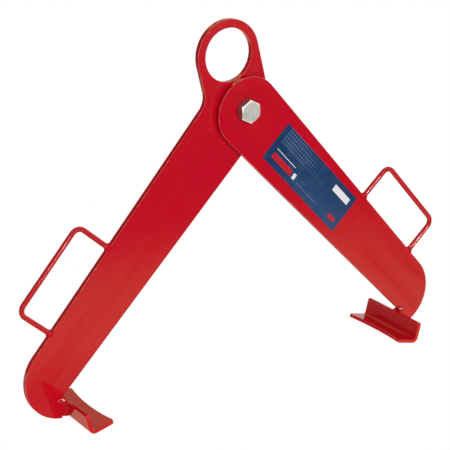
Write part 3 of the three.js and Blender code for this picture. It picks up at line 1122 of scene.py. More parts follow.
@dataclass
class Workshop:
    """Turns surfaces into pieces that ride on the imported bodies, with one material of each finish."""

    pivot: Pivot
    materials: dict[Finish, bpy.types.Material] = field(default_factory=dict)

    def material(self, finish: Finish) -> bpy.types.Material:
        """The material of a finish, made once.

        Args:
            finish: A kind of paint, or any other finish.

        Returns:
            The material.
        """
        if finish not in self.materials:
            painted = isinstance(finish, Wear)
            self.materials[finish] = Paint().material(finish, self.pivot) if painted else finish.material()
        return self.materials[finish]

    def add(self, name: str, surface: Surface, body: str, node: str, finish: Finish) -> bpy.types.Object:
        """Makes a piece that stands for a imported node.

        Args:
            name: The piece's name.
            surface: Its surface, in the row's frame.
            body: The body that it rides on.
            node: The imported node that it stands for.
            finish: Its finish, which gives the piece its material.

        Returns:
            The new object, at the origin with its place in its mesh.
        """
        points = surface.points * MM
        a, b, c = (points[surface.triangles()[:, i]] for i in range(3))
        inside_out = (a * np.cross(b, c)).sum() < 0
        faces = [f[:, ::-1] if inside_out else f for f in surface.faces]
        mesh = bpy.data.meshes.new(name)
        mesh.from_pydata(points.tolist(), [], [row for f in faces for row in f.tolist()])
        mesh.polygons.foreach_set("use_smooth", np.ones(len(mesh.polygons), bool))
        mesh.materials.append(self.material(finish))
        if surface.rim is not None:
            mesh.attributes.new("rim", "FLOAT", "POINT").data.foreach_set("value", surface.rim)
        mesh.update()
        piece = bpy.data.objects.new(name, mesh)
        bpy.context.scene.collection.objects.link(piece)
        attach(piece, body)
        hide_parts(node)
        log.info("%s: %d points, rides on %s, for %s", name, len(points), body, node)
        return piece


@dataclass
class LegPlate:
    """A leg's plate, cut from flat stock and painted over its rounded edges."""

    leg: Leg
    shop: Workshop

    def foot(self) -> list[tuple[Array, float]]:
        """Corners from the outer edge round the foot to the claw's cut and the inner edge.

        Returns:
            Pairs of a corner and its radius. The foot is an arc tangent to the outer edge.
        """
        leg, p = self.leg, PLATE
        slope = math.atan(p.taper)
        height = p.foot_centre_height - leg.length
        centre = np.array([leg.edge(True, height) - p.foot_radius / math.cos(slope), height])
        to_centre = centre - leg.corner
        aside = p.relief_width - float(to_centre @ CLAW.out)
        heel = float(to_centre @ CLAW.up) - math.sqrt(p.foot_radius**2 - aside**2)
        end = leg.from_claw(p.relief_width, heel) - centre
        angle = math.atan2(end[1], end[0])
        angle -= FULL_TURN if angle > 0 else 0
        slope_end = leg.from_claw(p.relief_width - p.relief_slope_width, heel + p.relief_slope_height)
        return [(point, 0.0) for point in (*arc(centre, p.foot_radius, -slope, angle), slope_end)] + [
            (leg.from_claw(CLAW.gap, up), p.corner_radius) for up in (p.relief_height, leg.cut_height)
        ]

    def eye_centre(self) -> Array:
        """Centre of the lifting eye, outward and up."""
        return CLAW.up * PLATE.eye_height + CLAW.out * PLATE.eye_offset

    def outline(self) -> Array:
        """The plate's outline: the plain leg's round top, or the eye's strap standing on the shoulders.

        Returns:
            A closed loop, outward and up.
        """
        leg, p = self.leg, PLATE
        if leg.name == "plain":
            ends = [leg.edge_point(outer, p.plain_top_height) for outer in (False, True)]
            return spaced(rounded([(end, p.plain_top_radius) for end in ends] + self.foot()))
        inner, outer = (leg.edge_point(side, 0.0) for side in (False, True))
        inner_low, outer_low = (leg.edge_point(side, -p.foot_width_distance) for side in (False, True))
        radius = p.eye_outer_diameter / 2
        left, right = (self.eye_centre() + CLAW.out * w * radius for w in (-1, 1))
        head = [
            (crossing(inner, inner_low - inner, left, CLAW.up), p.shoulder_radius),
            (left + CLAW.up * radius, radius),
            (right + CLAW.up * radius, radius),
            (crossing(outer, outer_low - outer, right, CLAW.up), p.neck_radius),
        ]
        return spaced(rounded(head + self.foot()))

    def build(self) -> None:
        """Makes the plate with its holes."""
        leg, p, full = self.leg, PLATE, FULL_TURN * (1 - PLATE.hole_step / 360)
        holes = [arc(np.zeros(2), p.bolt_hole_diameter / 2, 0, full, p.hole_step)]
        if leg.name == "eye":
            holes.append(arc(self.eye_centre(), p.eye_hole_diameter / 2, 0, full, p.hole_step))
        half = p.thickness / 2
        plate = slab(self.outline(), holes, leg.y - half, leg.y + half, p.edge_radius)
        plate.points = leg.row(plate.points)
        wear = Wear.RUBBED if leg.name == "eye" else Wear.PLATE
        self.shop.add(f"{leg.name}_plate", plate, leg.body, f"{leg.name}_leg_plate", wear)


@dataclass(frozen=True)
class Bead:
    """A rippled fillet bead along one axis, round at both ends.

    The face runs straight between its two toes, plus a bulge that follows a half sine across it. Each ripple
    is a crescent: its place along the bead lags by a half sine across the face. The crown is a knobbly lump
    near the far end, as tall as a bell curve along the bead. A wave is its depth, its rate along the bead
    and its share of the phase.
    """

    first: float
    second: float
    length: float
    phase: float
    crown: float = 0.0
    bulge: float = 0.15
    pitch: float = 1.3
    depth: float = 0.03
    step: float = 0.16
    face_points: int = 15
    end_share: float = 0.45
    end_least: float = 0.12
    lag: float = 0.9
    crest_power: float = 0.8
    crest_middle: float = 0.6
    face_power: float = 0.7
    face_share: float = 0.71
    waves: tuple[Triple, ...] = ((0.08, 0.9, 5), (0.04, 2.3, 9))
    toe_wave: Triple = (0.05, 1.3, 4)
    toe_ripple: float = 0.03
    toe_crown: float = 0.40
    knob_depth: float = 0.35
    knob_rates: Pair = (2.6, 9.5)
    sink_loss: float = 0.2
    crown_back: float = 2.8
    crown_width: float = 1.9
    glint_spot_width: float = 2.2
    sink: float = 0.3
    root: float = -0.6

    def bell(self, along: Array, width: float) -> Array:
        """A bell curve along the bead, with its top at the crown."""
        return np.exp(-(((along - self.length + self.crown_back) / width) ** 2))

    def rings(self) -> Array:
        """The bead's rings.

        Returns:
            Points given along, first and second, shape (rings, points, 3).
        """
        phase = self.phase
        along = np.linspace(0, self.length, int(self.length / self.step) + 1)[:, None]
        across = np.linspace(0, 1, self.face_points)[None]
        end = np.minimum(np.minimum(along, self.length - along) / (self.end_share * self.first), 1)
        full = self.end_least + (1 - self.end_least) * np.sqrt(np.maximum(1 - (1 - end) ** 2, 0))
        turn = along / self.pitch + self.lag * np.sin(math.pi * across) + phase
        crest = np.abs(np.sin(math.pi * turn)) ** self.crest_power - self.crest_middle
        uneven = sum(depth * np.sin(along * rate + shift * phase) for depth, rate, shift in self.waves)
        lump = self.crown * self.bell(along, self.crown_width)
        down, over = self.knob_rates
        knobs = lump * (1 + self.knob_depth * np.sin(down * along + over * across))
        rise = self.bulge + uneven + self.depth * crest + knobs
        rise = rise * np.sin(math.pi * across) ** self.face_power
        depth, rate, shift = self.toe_wave
        toes = 1 + depth * np.sin(along * rate + shift * phase)
        toes = toes + self.toe_ripple * np.sin(FULL_TURN * turn) + self.toe_crown * lump
        lift = full * rise * self.face_share - self.sink * (1 - full * self.sink_loss)
        wide = full * toes
        first, second = wide * (self.first * (1 - across)), wide * (self.second * across)
        face = np.stack([along + 0 * across, first + lift, second + lift], -1)
        root = np.full(len(along), self.root)
        return np.concatenate([face, np.stack([along[:, 0], root, root], -1)[:, None]], 1)


@dataclass
class Claw:
    """A claw bent from flat bar, and the three welds that hold it to the plate."""

    leg: Leg
    shop: Workshop
    weld_width: float = 6.2
    weld_depth: float = 4.0
    weld_start: float = 7.0
    front_rise: float = 6.5
    front_crown: float = 1.2
    rear_rise: float = 0.6
    top_width: float = 3.8
    top_spill: float = 0.5
    top_sink: float = 0.1
    phase: float = 0.2
    phase_step: float = 0.3
    top_phase: float = 0.4
    width_points: int = 61
    bend_points: int = 13
    rises: tuple[float, ...] = (0, 0.04, 0.12, 0.25, 0.4, 0.55, 0.7, 0.85, 1)

    def bent(self, along: Array, across: Array, depth: Array) -> Array:
        """Bends flat bar: down the upright, round the bend on its middle line, and along the lip.

        Args:
            along: Distance from the upright's top edge, on the bar's middle line.
            across: Distance along y from the leg's middle.
            depth: Distance from the outer face.

        Returns:
            Points given inward, y and up in the claw's frame.
        """
        outer = CLAW.outer_bend
        middle, first = outer - CLAW.thickness / 2, CLAW.height - outer
        turn = np.clip((along - first) / middle, 0, math.pi / 2)
        rest = np.maximum(along - first - middle * math.pi / 2, 0)
        inward = outer - (outer - depth) * np.cos(turn) + rest
        up = outer - (outer - depth) * np.sin(turn) + np.maximum(first - along, 0)
        return np.stack([inward, across + self.leg.y, up], -1)

    def grid(self) -> tuple[Array, Array]:
        """Places on the flat bar, its ends shaped by the drum's circle and the corners' quarter circles.

        Returns:
            How far along and across the bar each point of the grid lies, inside the rounded rim.
        """
        c = CLAW
        half, inset = c.length / 2, c.edge_radius + c.margin
        spread = np.sin(np.linspace(-math.pi / 2, math.pi / 2, self.width_points))
        full = spread * half
        hollow = c.lip_length + math.sqrt(c.drum_radius**2 - half**2) - np.sqrt(c.drum_radius**2 - full**2)
        round_lip, round_top = (
            r - np.sqrt(np.maximum(r**2 - np.maximum(np.abs(full) - half + r, 0) ** 2, 0))
            for r in (c.lip_corner, c.top_corner)
        )
        first = c.height - c.outer_bend
        bend_end = first + (c.outer_bend - c.thickness / 2) * math.pi / 2
        tip = bend_end + hollow - round_lip - c.outer_bend - inset
        top = round_top + inset
        rises = np.array(self.rises)
        upright = top[None] + (first - top)[None] * rises[:, None]
        curve = np.linspace(first, bend_end, self.bend_points)[1:, None] + 0 * spread[None]
        lip = bend_end + (tip - bend_end)[None] * (1 - rises[::-1])[1:, None]
        along = np.vstack([upright, curve, lip])
        return along, np.broadcast_to(spread * (half - inset), along.shape)

    def bar(self) -> Surface:
        """The claw: both faces over the grid, joined by the rim profile carried round the grid's border.

        Returns:
            The closed surface in the claw's frame.
        """
        c = CLAW
        along, wide = self.grid()
        rows, columns = along.shape
        count = rows * columns
        index = np.arange(count).reshape(rows, columns)
        ring = np.concatenate([index[0, :-1], index[:-1, -1], index[-1, :0:-1], index[:0:-1, 0]])
        flat = np.stack([along.ravel(), wide.ravel()], -1)
        loop = flat[ring]
        mitre = outward(loop[::-1])[::-1]
        insets, places = edge_profile(0, c.thickness, c.edge_radius, c.margin)
        rim = loop[None] + (c.edge_radius + c.margin - insets[1:-1])[:, None, None] * mitre[None]
        depth = np.broadcast_to(places[1:-1, None], rim.shape[:2]).ravel()
        outer, inner = (self.bent(*flat.T, np.full(count, deep)) for deep in (0.0, c.thickness))
        edge = self.bent(rim[..., 0].ravel(), rim[..., 1].ravel(), depth)
        between = 2 * count + np.arange(len(rim) * len(ring)).reshape(len(rim), len(ring))
        sides = np.vstack([ring, between, ring + count])
        faces = lattice(rows, columns, wrap_columns=False)
        band = quads(np.hstack([sides, sides[:, :1]]))
        return Surface(np.vstack([outer, inner, edge]), [faces[:, ::-1], faces + count, band])

    def build(self) -> None:
        """Makes the claw, its two side welds and its top weld."""
        leg, name, c = self.leg, self.leg.name, CLAW
        pieces = [(f"{name}_claw", self.bar(), f"{name}_leg_claw", Wear.CLAW)]
        half = PLATE.thickness / 2
        for facing, where in ((-1, "front"), (1, "rear")):
            rise, crown = (self.front_rise, self.front_crown) if facing < 0 else (self.rear_rise, 0.0)
            length = c.height + rise - self.weld_start
            phase = self.phase + self.phase_step * facing
            bead = Bead(self.weld_width, self.weld_depth, length, phase, crown)
            up, out, aside = np.moveaxis(bead.rings(), -1, 0)
            weld = tube(np.stack([-out, leg.y + facing * (half + aside), up + self.weld_start], -1))
            if crown:
                # The rim share marks the crown, where the paint puts its painted glints.
                weld.rim = np.append(bead.bell(up, bead.glint_spot_width).ravel(), [0, 0]).astype(np.float32)
            pieces.append((f"{name}_{where}_weld", weld, f"{name}_claw_{where}_weld", Wear.WELD))
        length = PLATE.thickness + 2 * self.top_spill
        bead = Bead(self.top_width, leg.top_weld_height, length, self.top_phase)
        y, inward, rise = np.moveaxis(bead.rings(), -1, 0)
        aside = leg.y - half - self.top_spill + y
        weld = tube(np.stack([inward - self.top_sink, aside, c.height + rise], -1))
        pieces.append((f"{name}_top_weld", weld, f"{name}_claw_top_weld", Wear.WELD))
        for piece, surface, node, wear in pieces:
            surface.points = leg.claw_row(surface.points)
            self.shop.add(piece, surface, leg.body, node, wear)


@dataclass
class Handle:
    """A carrying handle bent from round rod, and the weld collar at each of its ends."""

    leg: Leg
    shop: Workshop
    rod_diameter: float = 6.2
    length: float = 119.4
    reach: float = 52.1
    bend_radius: float = 10.0
    sink: float = 0.4
    first_points: Pair = (1.0, 3.0)
    leg_points: int = 8
    grip_points: int = 18
    ring_points: int = 28
    bend_flat: float = 0.035
    bend_turn: Pair = (0.02, 0.07)
    collar_height: float = 3.9
    collar_foot: float = 6.0
    collar_side: float = 4.35
    collar_sink: float = 0.25
    collar_dip: float = 1.1
    collar_swell: float = 0.36
    collar_neck: float = 0.15
    collar_ease: float = 0.85
    collar_power: float = 0.8
    collar_points: int = 72
    collar_rings: int = 13
    wave_depth: float = 0.14
    wave_shift: float = 6.0
    rim_depth: float = 0.35
    rim_shift: float = 8.0
    lobes: int = 9
    lobe_lag: float = 0.35
    lobe_depth: float = 0.22
    lobe_middle: float = 0.6
    phases: Pair = (0.15, 0.62)
    phase_step: float = 0.1

    def path(self) -> Array:
        """The rod's middle line: out from the edge, round two bends and back.

        Returns:
            Points given out and along, of shape (n, 2).
        """
        half, reach = self.length / 2 - self.rod_diameter / 2, self.reach - self.rod_diameter / 2
        bend, (near, far) = self.bend_radius, self.first_points
        legs = np.concatenate([[-self.sink, near], np.linspace(far, reach - bend, self.leg_points)])
        first = np.stack([legs, np.full(len(legs), half)], -1)
        corner = arc(np.array([reach - bend, half - bend]), bend, math.pi / 2, 0, 2 * FINE_TURN)
        grip = np.linspace(half - bend, bend - half, self.grip_points)[1:-1]
        middle = np.stack([np.full(len(grip), reach), grip], -1)
        quarter = np.vstack([first[:-1], corner])
        return np.vstack([quarter, middle, quarter[::-1] * [1, -1]])

    def rod(self) -> Surface:
        """The rod: a circle carried square to its path, a little flatter in the bends.

        Returns:
            The closed surface in the handle's frame.
        """
        path = self.path()
        way = np.gradient(path, axis=0)
        way /= np.linalg.norm(way, axis=1, keepdims=True)
        side = np.stack([way[:, 1], -way[:, 0]], -1)
        angle = np.linspace(0, FULL_TURN, self.ring_points + 1)[:-1]
        radius = self.rod_diameter / 2
        turned = np.abs(np.gradient(np.arctan2(way[:, 1], way[:, 0])))
        flat = 1 - self.bend_flat * smooth_step(turned, *self.bend_turn)
        flatwise = path[:, None] + side[:, None] * (radius * flat[:, None] * np.cos(angle))[..., None]
        y = self.leg.y + radius * np.sin(angle) * np.ones(len(path))[:, None]
        return tube(np.stack([flatwise[..., 0], y, flatwise[..., 1]], -1))

    def collar(self, along: float, phase: float) -> Surface:
        """A weld run round the rod's foot.

        Its radius eases from an oval foot, long down the leg's edge and narrow across it, to the rod, and
        swells between by a half sine. Lobes run round it as crescents, and two waves a turn make it
        uneven. The foot dips over the plate's sides.

        Args:
            along: The rod's place down the handle.
            phase: Shift of the lobes, in turns.

        Returns:
            The closed surface in the handle's frame.
        """
        angle = np.linspace(0, FULL_TURN, self.collar_points + 1)[:-1][None]
        rise = np.linspace(0, 1, self.collar_rings)[:, None]
        foot = 1 / np.sqrt((np.cos(angle) / self.collar_foot) ** 2 + (np.sin(angle) / self.collar_side) ** 2)
        rod = self.rod_diameter / 2 - self.collar_neck
        turn = self.lobes * angle / FULL_TURN + self.lobe_lag * np.sin(math.pi * rise) + phase
        crest = self.lobe_depth * (np.abs(np.sin(math.pi * turn)) - self.lobe_middle)
        swell = self.collar_swell + crest + self.wave_depth * np.sin(2 * angle + self.wave_shift * phase)
        swell = swell * np.sin(math.pi * rise) ** self.collar_power
        radius = foot + (rod - foot) * rise**self.collar_ease + swell
        dip = -self.collar_dip * np.sin(angle) ** 2 * (1 - rise) ** 2 - self.collar_sink
        out = dip + (self.collar_height + self.rim_depth * np.sin(angle * 2 + phase * self.rim_shift)) * rise
        return tube(np.stack([out, self.leg.y + radius * np.sin(angle), along + radius * np.cos(angle)], -1))

    def build(self) -> None:
        """Makes the rod and its two weld collars."""
        leg, name = self.leg, self.leg.name
        half = self.length / 2 - self.rod_diameter / 2
        pieces = [(f"{name}_handle", self.rod(), f"{name}_leg_handle", Wear.SMALL)]
        for along, where, phase in zip((half, -half), ("top", "foot"), self.phases):
            weld = self.collar(along, phase + self.phase_step * leg.side)
            pieces.append((f"{name}_collar_{where}", weld, f"{name}_handle_{where}_weld", Wear.WELD))
        for piece, surface, node, wear in pieces:
            surface.points = leg.handle_row(surface.points)
            self.shop.add(piece, surface, leg.body, node, wear)


@dataclass
class PivotSet:
    """The bolt through both plates, with its washer and locking nut at the rear.

    A profile's corners are a radius and a height: over the head's face for head_top, under its seat for
    head_under, over the nut's seat for nut_front, over its hexagon for nut_shoulder and under its top for
    nut_lip. The ring's depths are under the nut's top too.
    """

    pivot: Pivot
    shop: Workshop
    turn: float = -2.4
    turn_step: float = 2.0
    flats: float = 24.0
    corner_power: float = 90.0
    chamfer_diameter: float = 22.9
    chamfer_angle: float = 30.0
    chamfer_shares: tuple[float, ...] = (0.0, 0.03, 0.12, 0.5, 0.88, 0.97, 1.0)
    flank_guards: Pair = (0.15, 0.6)
    shank: float = 16.0
    pitch: float = 2.0
    thread_depth: float = 1.15
    thread_length: float = 14.0
    thread_start: float = 2.0
    thread_slope: float = 1.25
    thread_land: float = 0.06
    thread_step: float = 0.1
    tip_cone: float = 1.4
    head_height: float = 10.0
    head_top: Profile = ((0.02, 0.0), (3.0, 0.0), (7.0, 0.0), (10.2, 0.0), (11.1, 0.0), (11.33, 0.01))
    head_under: Profile = ((11.3, 0.6), (11.2, 0.5), (11.2, 0.1), (11.1, 0.0), (9.0, 0.0), (8.0, 0.0))
    tip_radii: tuple[float, ...] = (6.4, 6.0, 3.0, 0.02)
    neck: float = 0.2
    neck_rings: int = 6
    bolt_length: float = 35.0
    seat_gap: float = 0.3
    washer_diameter: float = 30.0
    washer_bore: float = 16.7
    washer_thickness: float = 3.0
    nut_hex_height: float = 11.5
    nut_height: float = 16.0
    nut_collar: float = 21.4
    nut_roll: float = 1.5
    roll_rings: int = 7
    nut_wall: float = 1.8
    nut_bore_start: float = 1.2
    nut_front: Profile = ((8.35, 0.7), (8.85, 0.0), (9.6, 0.0), (10.9, 0.0))
    nut_shoulder: Profile = ((11.0, 0.02), (10.78, 0.2), (10.7, 0.7))
    nut_lip: Profile = (
        (8.9, 0.05), (8.8, 0.3), (8.85, 0.6), (9.5, 0.75), (9.6, 0.9), (9.6, 3.6), (8.35, 3.6),
    )
    washer_rounding: tuple[float, ...] = (0.25, 0.8, 0.3, 0.5)
    washer_guard: float = 0.2
    ring_bore_gap: float = 0.1
    ring_inset: float = 1.15
    ring_depths: tuple[float, ...] = (3.4, 3.4, 0.8, 0.9)
    ring_rounding: tuple[float, ...] = (0.3, 0.3, 0.3, 0.7)
    ring_guard: float = 0.1

    @property
    def head_seat(self) -> float:
        """Y of the head's bearing face."""
        return -PLATE.gap / 2 - PLATE.thickness - self.seat_gap

    @property
    def washer_seat(self) -> float:
        """Y of the washer's front face."""
        return PLATE.gap / 2 + PLATE.thickness + self.seat_gap

    @property
    def nut_seat(self) -> float:
        """Y of the nut's front face."""
        return self.washer_seat + self.washer_thickness + self.seat_gap

    @property
    def angles(self) -> Array:
        """Even angles round the pivot from +z towards +x, with one on each corner of the hexagon."""
        return np.radians(self.turn + self.turn_step * np.arange(round(360 / self.turn_step)))[None]

    def lathe(self, parts: list[tuple[Array, Array]]) -> Array:
        """Turns a profile round the pivot: x and z are the pivot's plus the radius times sine and cosine.

        Args:
            parts: Pairs of radii and y, each a column, or a grid with one number for each angle.

        Returns:
            Rings of points in the row's frame.
        """
        angle = self.angles
        radius, y = (np.vstack([part[i] + 0 * angle for part in parts]) for i in (0, 1))
        x, z = self.pivot.x + radius * np.sin(angle), self.pivot.z + radius * np.cos(angle)
        return np.stack([x, y, z], -1)

    def turned_ring(self, corners: list[Triple], guard: float) -> Surface:
        """A ring turned from corners of its profile, each a radius, a y and a rounding."""
        profile = spaced(rounded([(np.array(at), rounding) for *at, rounding in corners]), guard)
        return hoop(self.lathe([(profile[:, :1], profile[:, 1:])]))

    def hex_radius(self, angle: Array) -> Array:
        """Radius of a hexagon with slightly rounded corners: the power mean of its six flats' distances."""
        lean = np.maximum(np.cos(angle[..., None] - np.radians(self.turn + 30 + 60 * np.arange(6))), 0)
        return ((lean / (self.flats / 2)) ** self.corner_power).sum(-1) ** (-1 / self.corner_power)

    def hex_side(
        self, low: float, high: float, low_chamfer: bool, high_chamfer: bool
    ) -> tuple[Array, Array]:
        """A hexagon's flanks with their corners turned down by a cone.

        Args:
            low: Lower y.
            high: Higher y.
            low_chamfer: Whether the lower end is turned down.
            high_chamfer: Whether the higher end is.

        Returns:
            Radii and y of the rings from the low face's turned circle to the high face's.
        """
        full, face = self.hex_radius(self.angles), self.chamfer_diameter / 2
        drop = np.maximum(full - face, 0) * math.tan(math.radians(self.chamfer_angle))
        shares = column(*self.chamfer_shares)
        radius = np.vstack([face + (full - face) * shares, full, full])
        radii, places = [], []
        for at, sign, turned in ((low, 1, low_chamfer), (high, -1, high_chamfer)):
            down = drop if turned else 0 * drop
            place = np.vstack([at + sign * down * shares, at + sign * (down + column(*self.flank_guards))])
            radii.append(radius[::sign])
            places.append(place[::sign])
        return np.vstack(radii), np.vstack(places)

    def bolt(self) -> Surface:
        """The bolt: a flat head with turned-down corners, a washer face, and a threaded stem.

        The thread is a helical ridge: the radius falls from the crest by a rounded triangle wave of y over
        the pitch less the angle's share of a turn, and a cone cuts it at the tip.

        Returns:
            The closed surface in the row's frame.
        """
        seat, low = self.head_seat, self.head_seat - self.head_height
        end = seat + self.bolt_length
        thread = end - self.thread_length
        plain = np.linspace(seat + self.neck, thread, self.neck_rings)
        stem = column(*plain, *np.arange(thread + self.thread_step, end, self.thread_step))
        wave = (stem / self.pitch - self.angles / FULL_TURN) % 1
        groove = np.clip(np.abs(2 * wave - 1) * self.thread_slope - self.thread_land, 0, 1)
        depth = self.thread_depth * groove * smooth_step(stem, thread, thread + self.thread_start)
        tip = self.shank / 2 - np.maximum(stem - (end - self.tip_cone), 0)
        top, under = columns_of(self.head_top), columns_of(self.head_under)
        side = self.hex_side(low, seat - self.head_under[0][1], True, False)
        ridge = np.minimum(self.shank / 2 - depth, tip), stem
        point = column(*self.tip_radii)
        parts = [(top[0], low + top[1]), side, (under[0], seat - under[1]), ridge, (point, end + 0 * point)]
        return tube(self.lathe(parts))

    def washer(self) -> Surface:
        """A flat washer with rounded edges, punched from one side.

        Returns:
            The closed surface in the row's frame.
        """
        low, high = self.washer_seat, self.washer_seat + self.washer_thickness
        bore, rim = self.washer_bore / 2, self.washer_diameter / 2
        corners = zip((bore, rim, rim, bore), (low, low, high, high), self.washer_rounding)
        return self.turned_ring(list(corners), self.washer_guard)

    def nut(self) -> Surface:
        """The locking nut: hexagon, flared shoulder and a collar rolled over its ring.

        Returns:
            The closed surface, its profile turned about the bolt.
        """
        seat, roll = self.nut_seat, self.nut_roll
        high, top = seat + self.nut_hex_height, seat + self.nut_height
        bore, rim = self.washer_bore / 2, self.nut_collar / 2
        front, shoulder, lip = (columns_of(p) for p in (self.nut_front, self.nut_shoulder, self.nut_lip))
        angle = np.linspace(0, math.pi / 2, self.roll_rings)[:, None]
        parts = [
            (front[0], seat + front[1]),
            self.hex_side(seat, high, True, True),
            (shoulder[0], high + shoulder[1]),
            (column(rim), column(top - self.nut_wall)),
            (rim - roll * (1 - np.cos(angle)), top - roll + roll * np.sin(angle)),
            (lip[0], top - lip[1]),
            (column(bore), column(seat + self.nut_bore_start)),
        ]
        return hoop(self.lathe(parts))

    def insert(self) -> Surface:
        """The nylon ring: a rounded band that stands just inside the nut's lip.

        Returns:
            The closed surface in the row's frame.
        """
        bore, rim = self.shank / 2 + self.ring_bore_gap, self.nut_collar / 2 - self.ring_inset
        places = self.nut_seat + self.nut_height - np.array(self.ring_depths)
        corners = zip((bore, rim, rim, bore), places, self.ring_rounding)
        return self.turned_ring(list(corners), self.ring_guard)

    def build(self) -> None:
        """Makes the bolt, washer, nut and ring, which stay with the rear leg."""
        for piece, surface, node, finish in (
            ("bolt", self.bolt(), "pivot_bolt", Zinc()),
            ("washer", self.washer(), "pivot_washer", Zinc()),
            ("locking_nut", self.nut(), "pivot_nut", Zinc()),
            ("locking_ring", self.insert(), "nut_insert", Nylon()),
        ):
            self.shop.add(piece, surface, "eye_leg", node, finish)


@dataclass
class Label:
    """The printed film on the front leg."""

    leg: Leg
    shop: Workshop
    print_: LabelPrint = LabelPrint()
    offset: float = 1.3
    distance: float = 134.4
    thickness: float = 0.14
    sink: float = 0.02
    corner: float = 1.0
    edge_radius: float = 0.05
    margin: float = 0.1

    def build(self) -> None:
        """Makes the film, with a UV map that runs across it and down it from its upper inner corner."""
        w, h = self.print_.width / 2, self.print_.length / 2
        centre = np.array([self.offset, -self.distance])
        ends = [(centre + np.array(end), self.corner) for end in ((-w, -h), (w, -h), (w, h), (-w, h))]
        face = self.leg.y - PLATE.thickness / 2
        outline = spaced(rounded(ends))
        film = slab(outline, [], face - self.thickness, face + self.sink, self.edge_radius, self.margin)
        flat = film.points[:, [0, 2]]
        film.points = self.leg.row(film.points)
        piece = self.shop.add("label", film, self.leg.body, "data_label", self.print_)
        corners = np.zeros(len(piece.data.loops), np.int32)
        piece.data.loops.foreach_get("vertex_index", corners)
        uv = (flat - centre) / [self.print_.width, -self.print_.length] + 0.5
        piece.data.uv_layers.new(name="label").data.foreach_set("uv", uv[corners].astype(np.float32).ravel())


# Studio


@dataclass(frozen=True)
class Lamp:
    """A soft area lamp that faces a height on the z axis.

    A strip lights gloss alone, and any other lamp lights all but gloss. The camera sees neither.
    """

    name: str
    place: Triple
    sides: Pair
    power: float
    aim: float = 0.18
    tilt: float = 0.0
    strip: bool = False

    def build(self) -> None:
        """Makes the lamp."""
        data = bpy.data.lights.new(self.name, "AREA")
        data.shape, data.energy = "RECTANGLE", self.power
        data.size, data.size_y = self.sides
        lamp = bpy.data.objects.new(self.name, data)
        lamp.location = self.place
        lamp.rotation_mode = "QUATERNION"
        facing = (Vector((0, 0, self.aim)) - Vector(self.place)).to_track_quat("-Z", "Y")
        lamp.rotation_quaternion = facing @ Quaternion((0, 0, 1), math.radians(self.tilt))
        lamp.visible_glossy = self.strip
        lamp.visible_diffuse = not self.strip
        lamp.visible_camera = False
        bpy.context.scene.collection.objects.link(lamp)


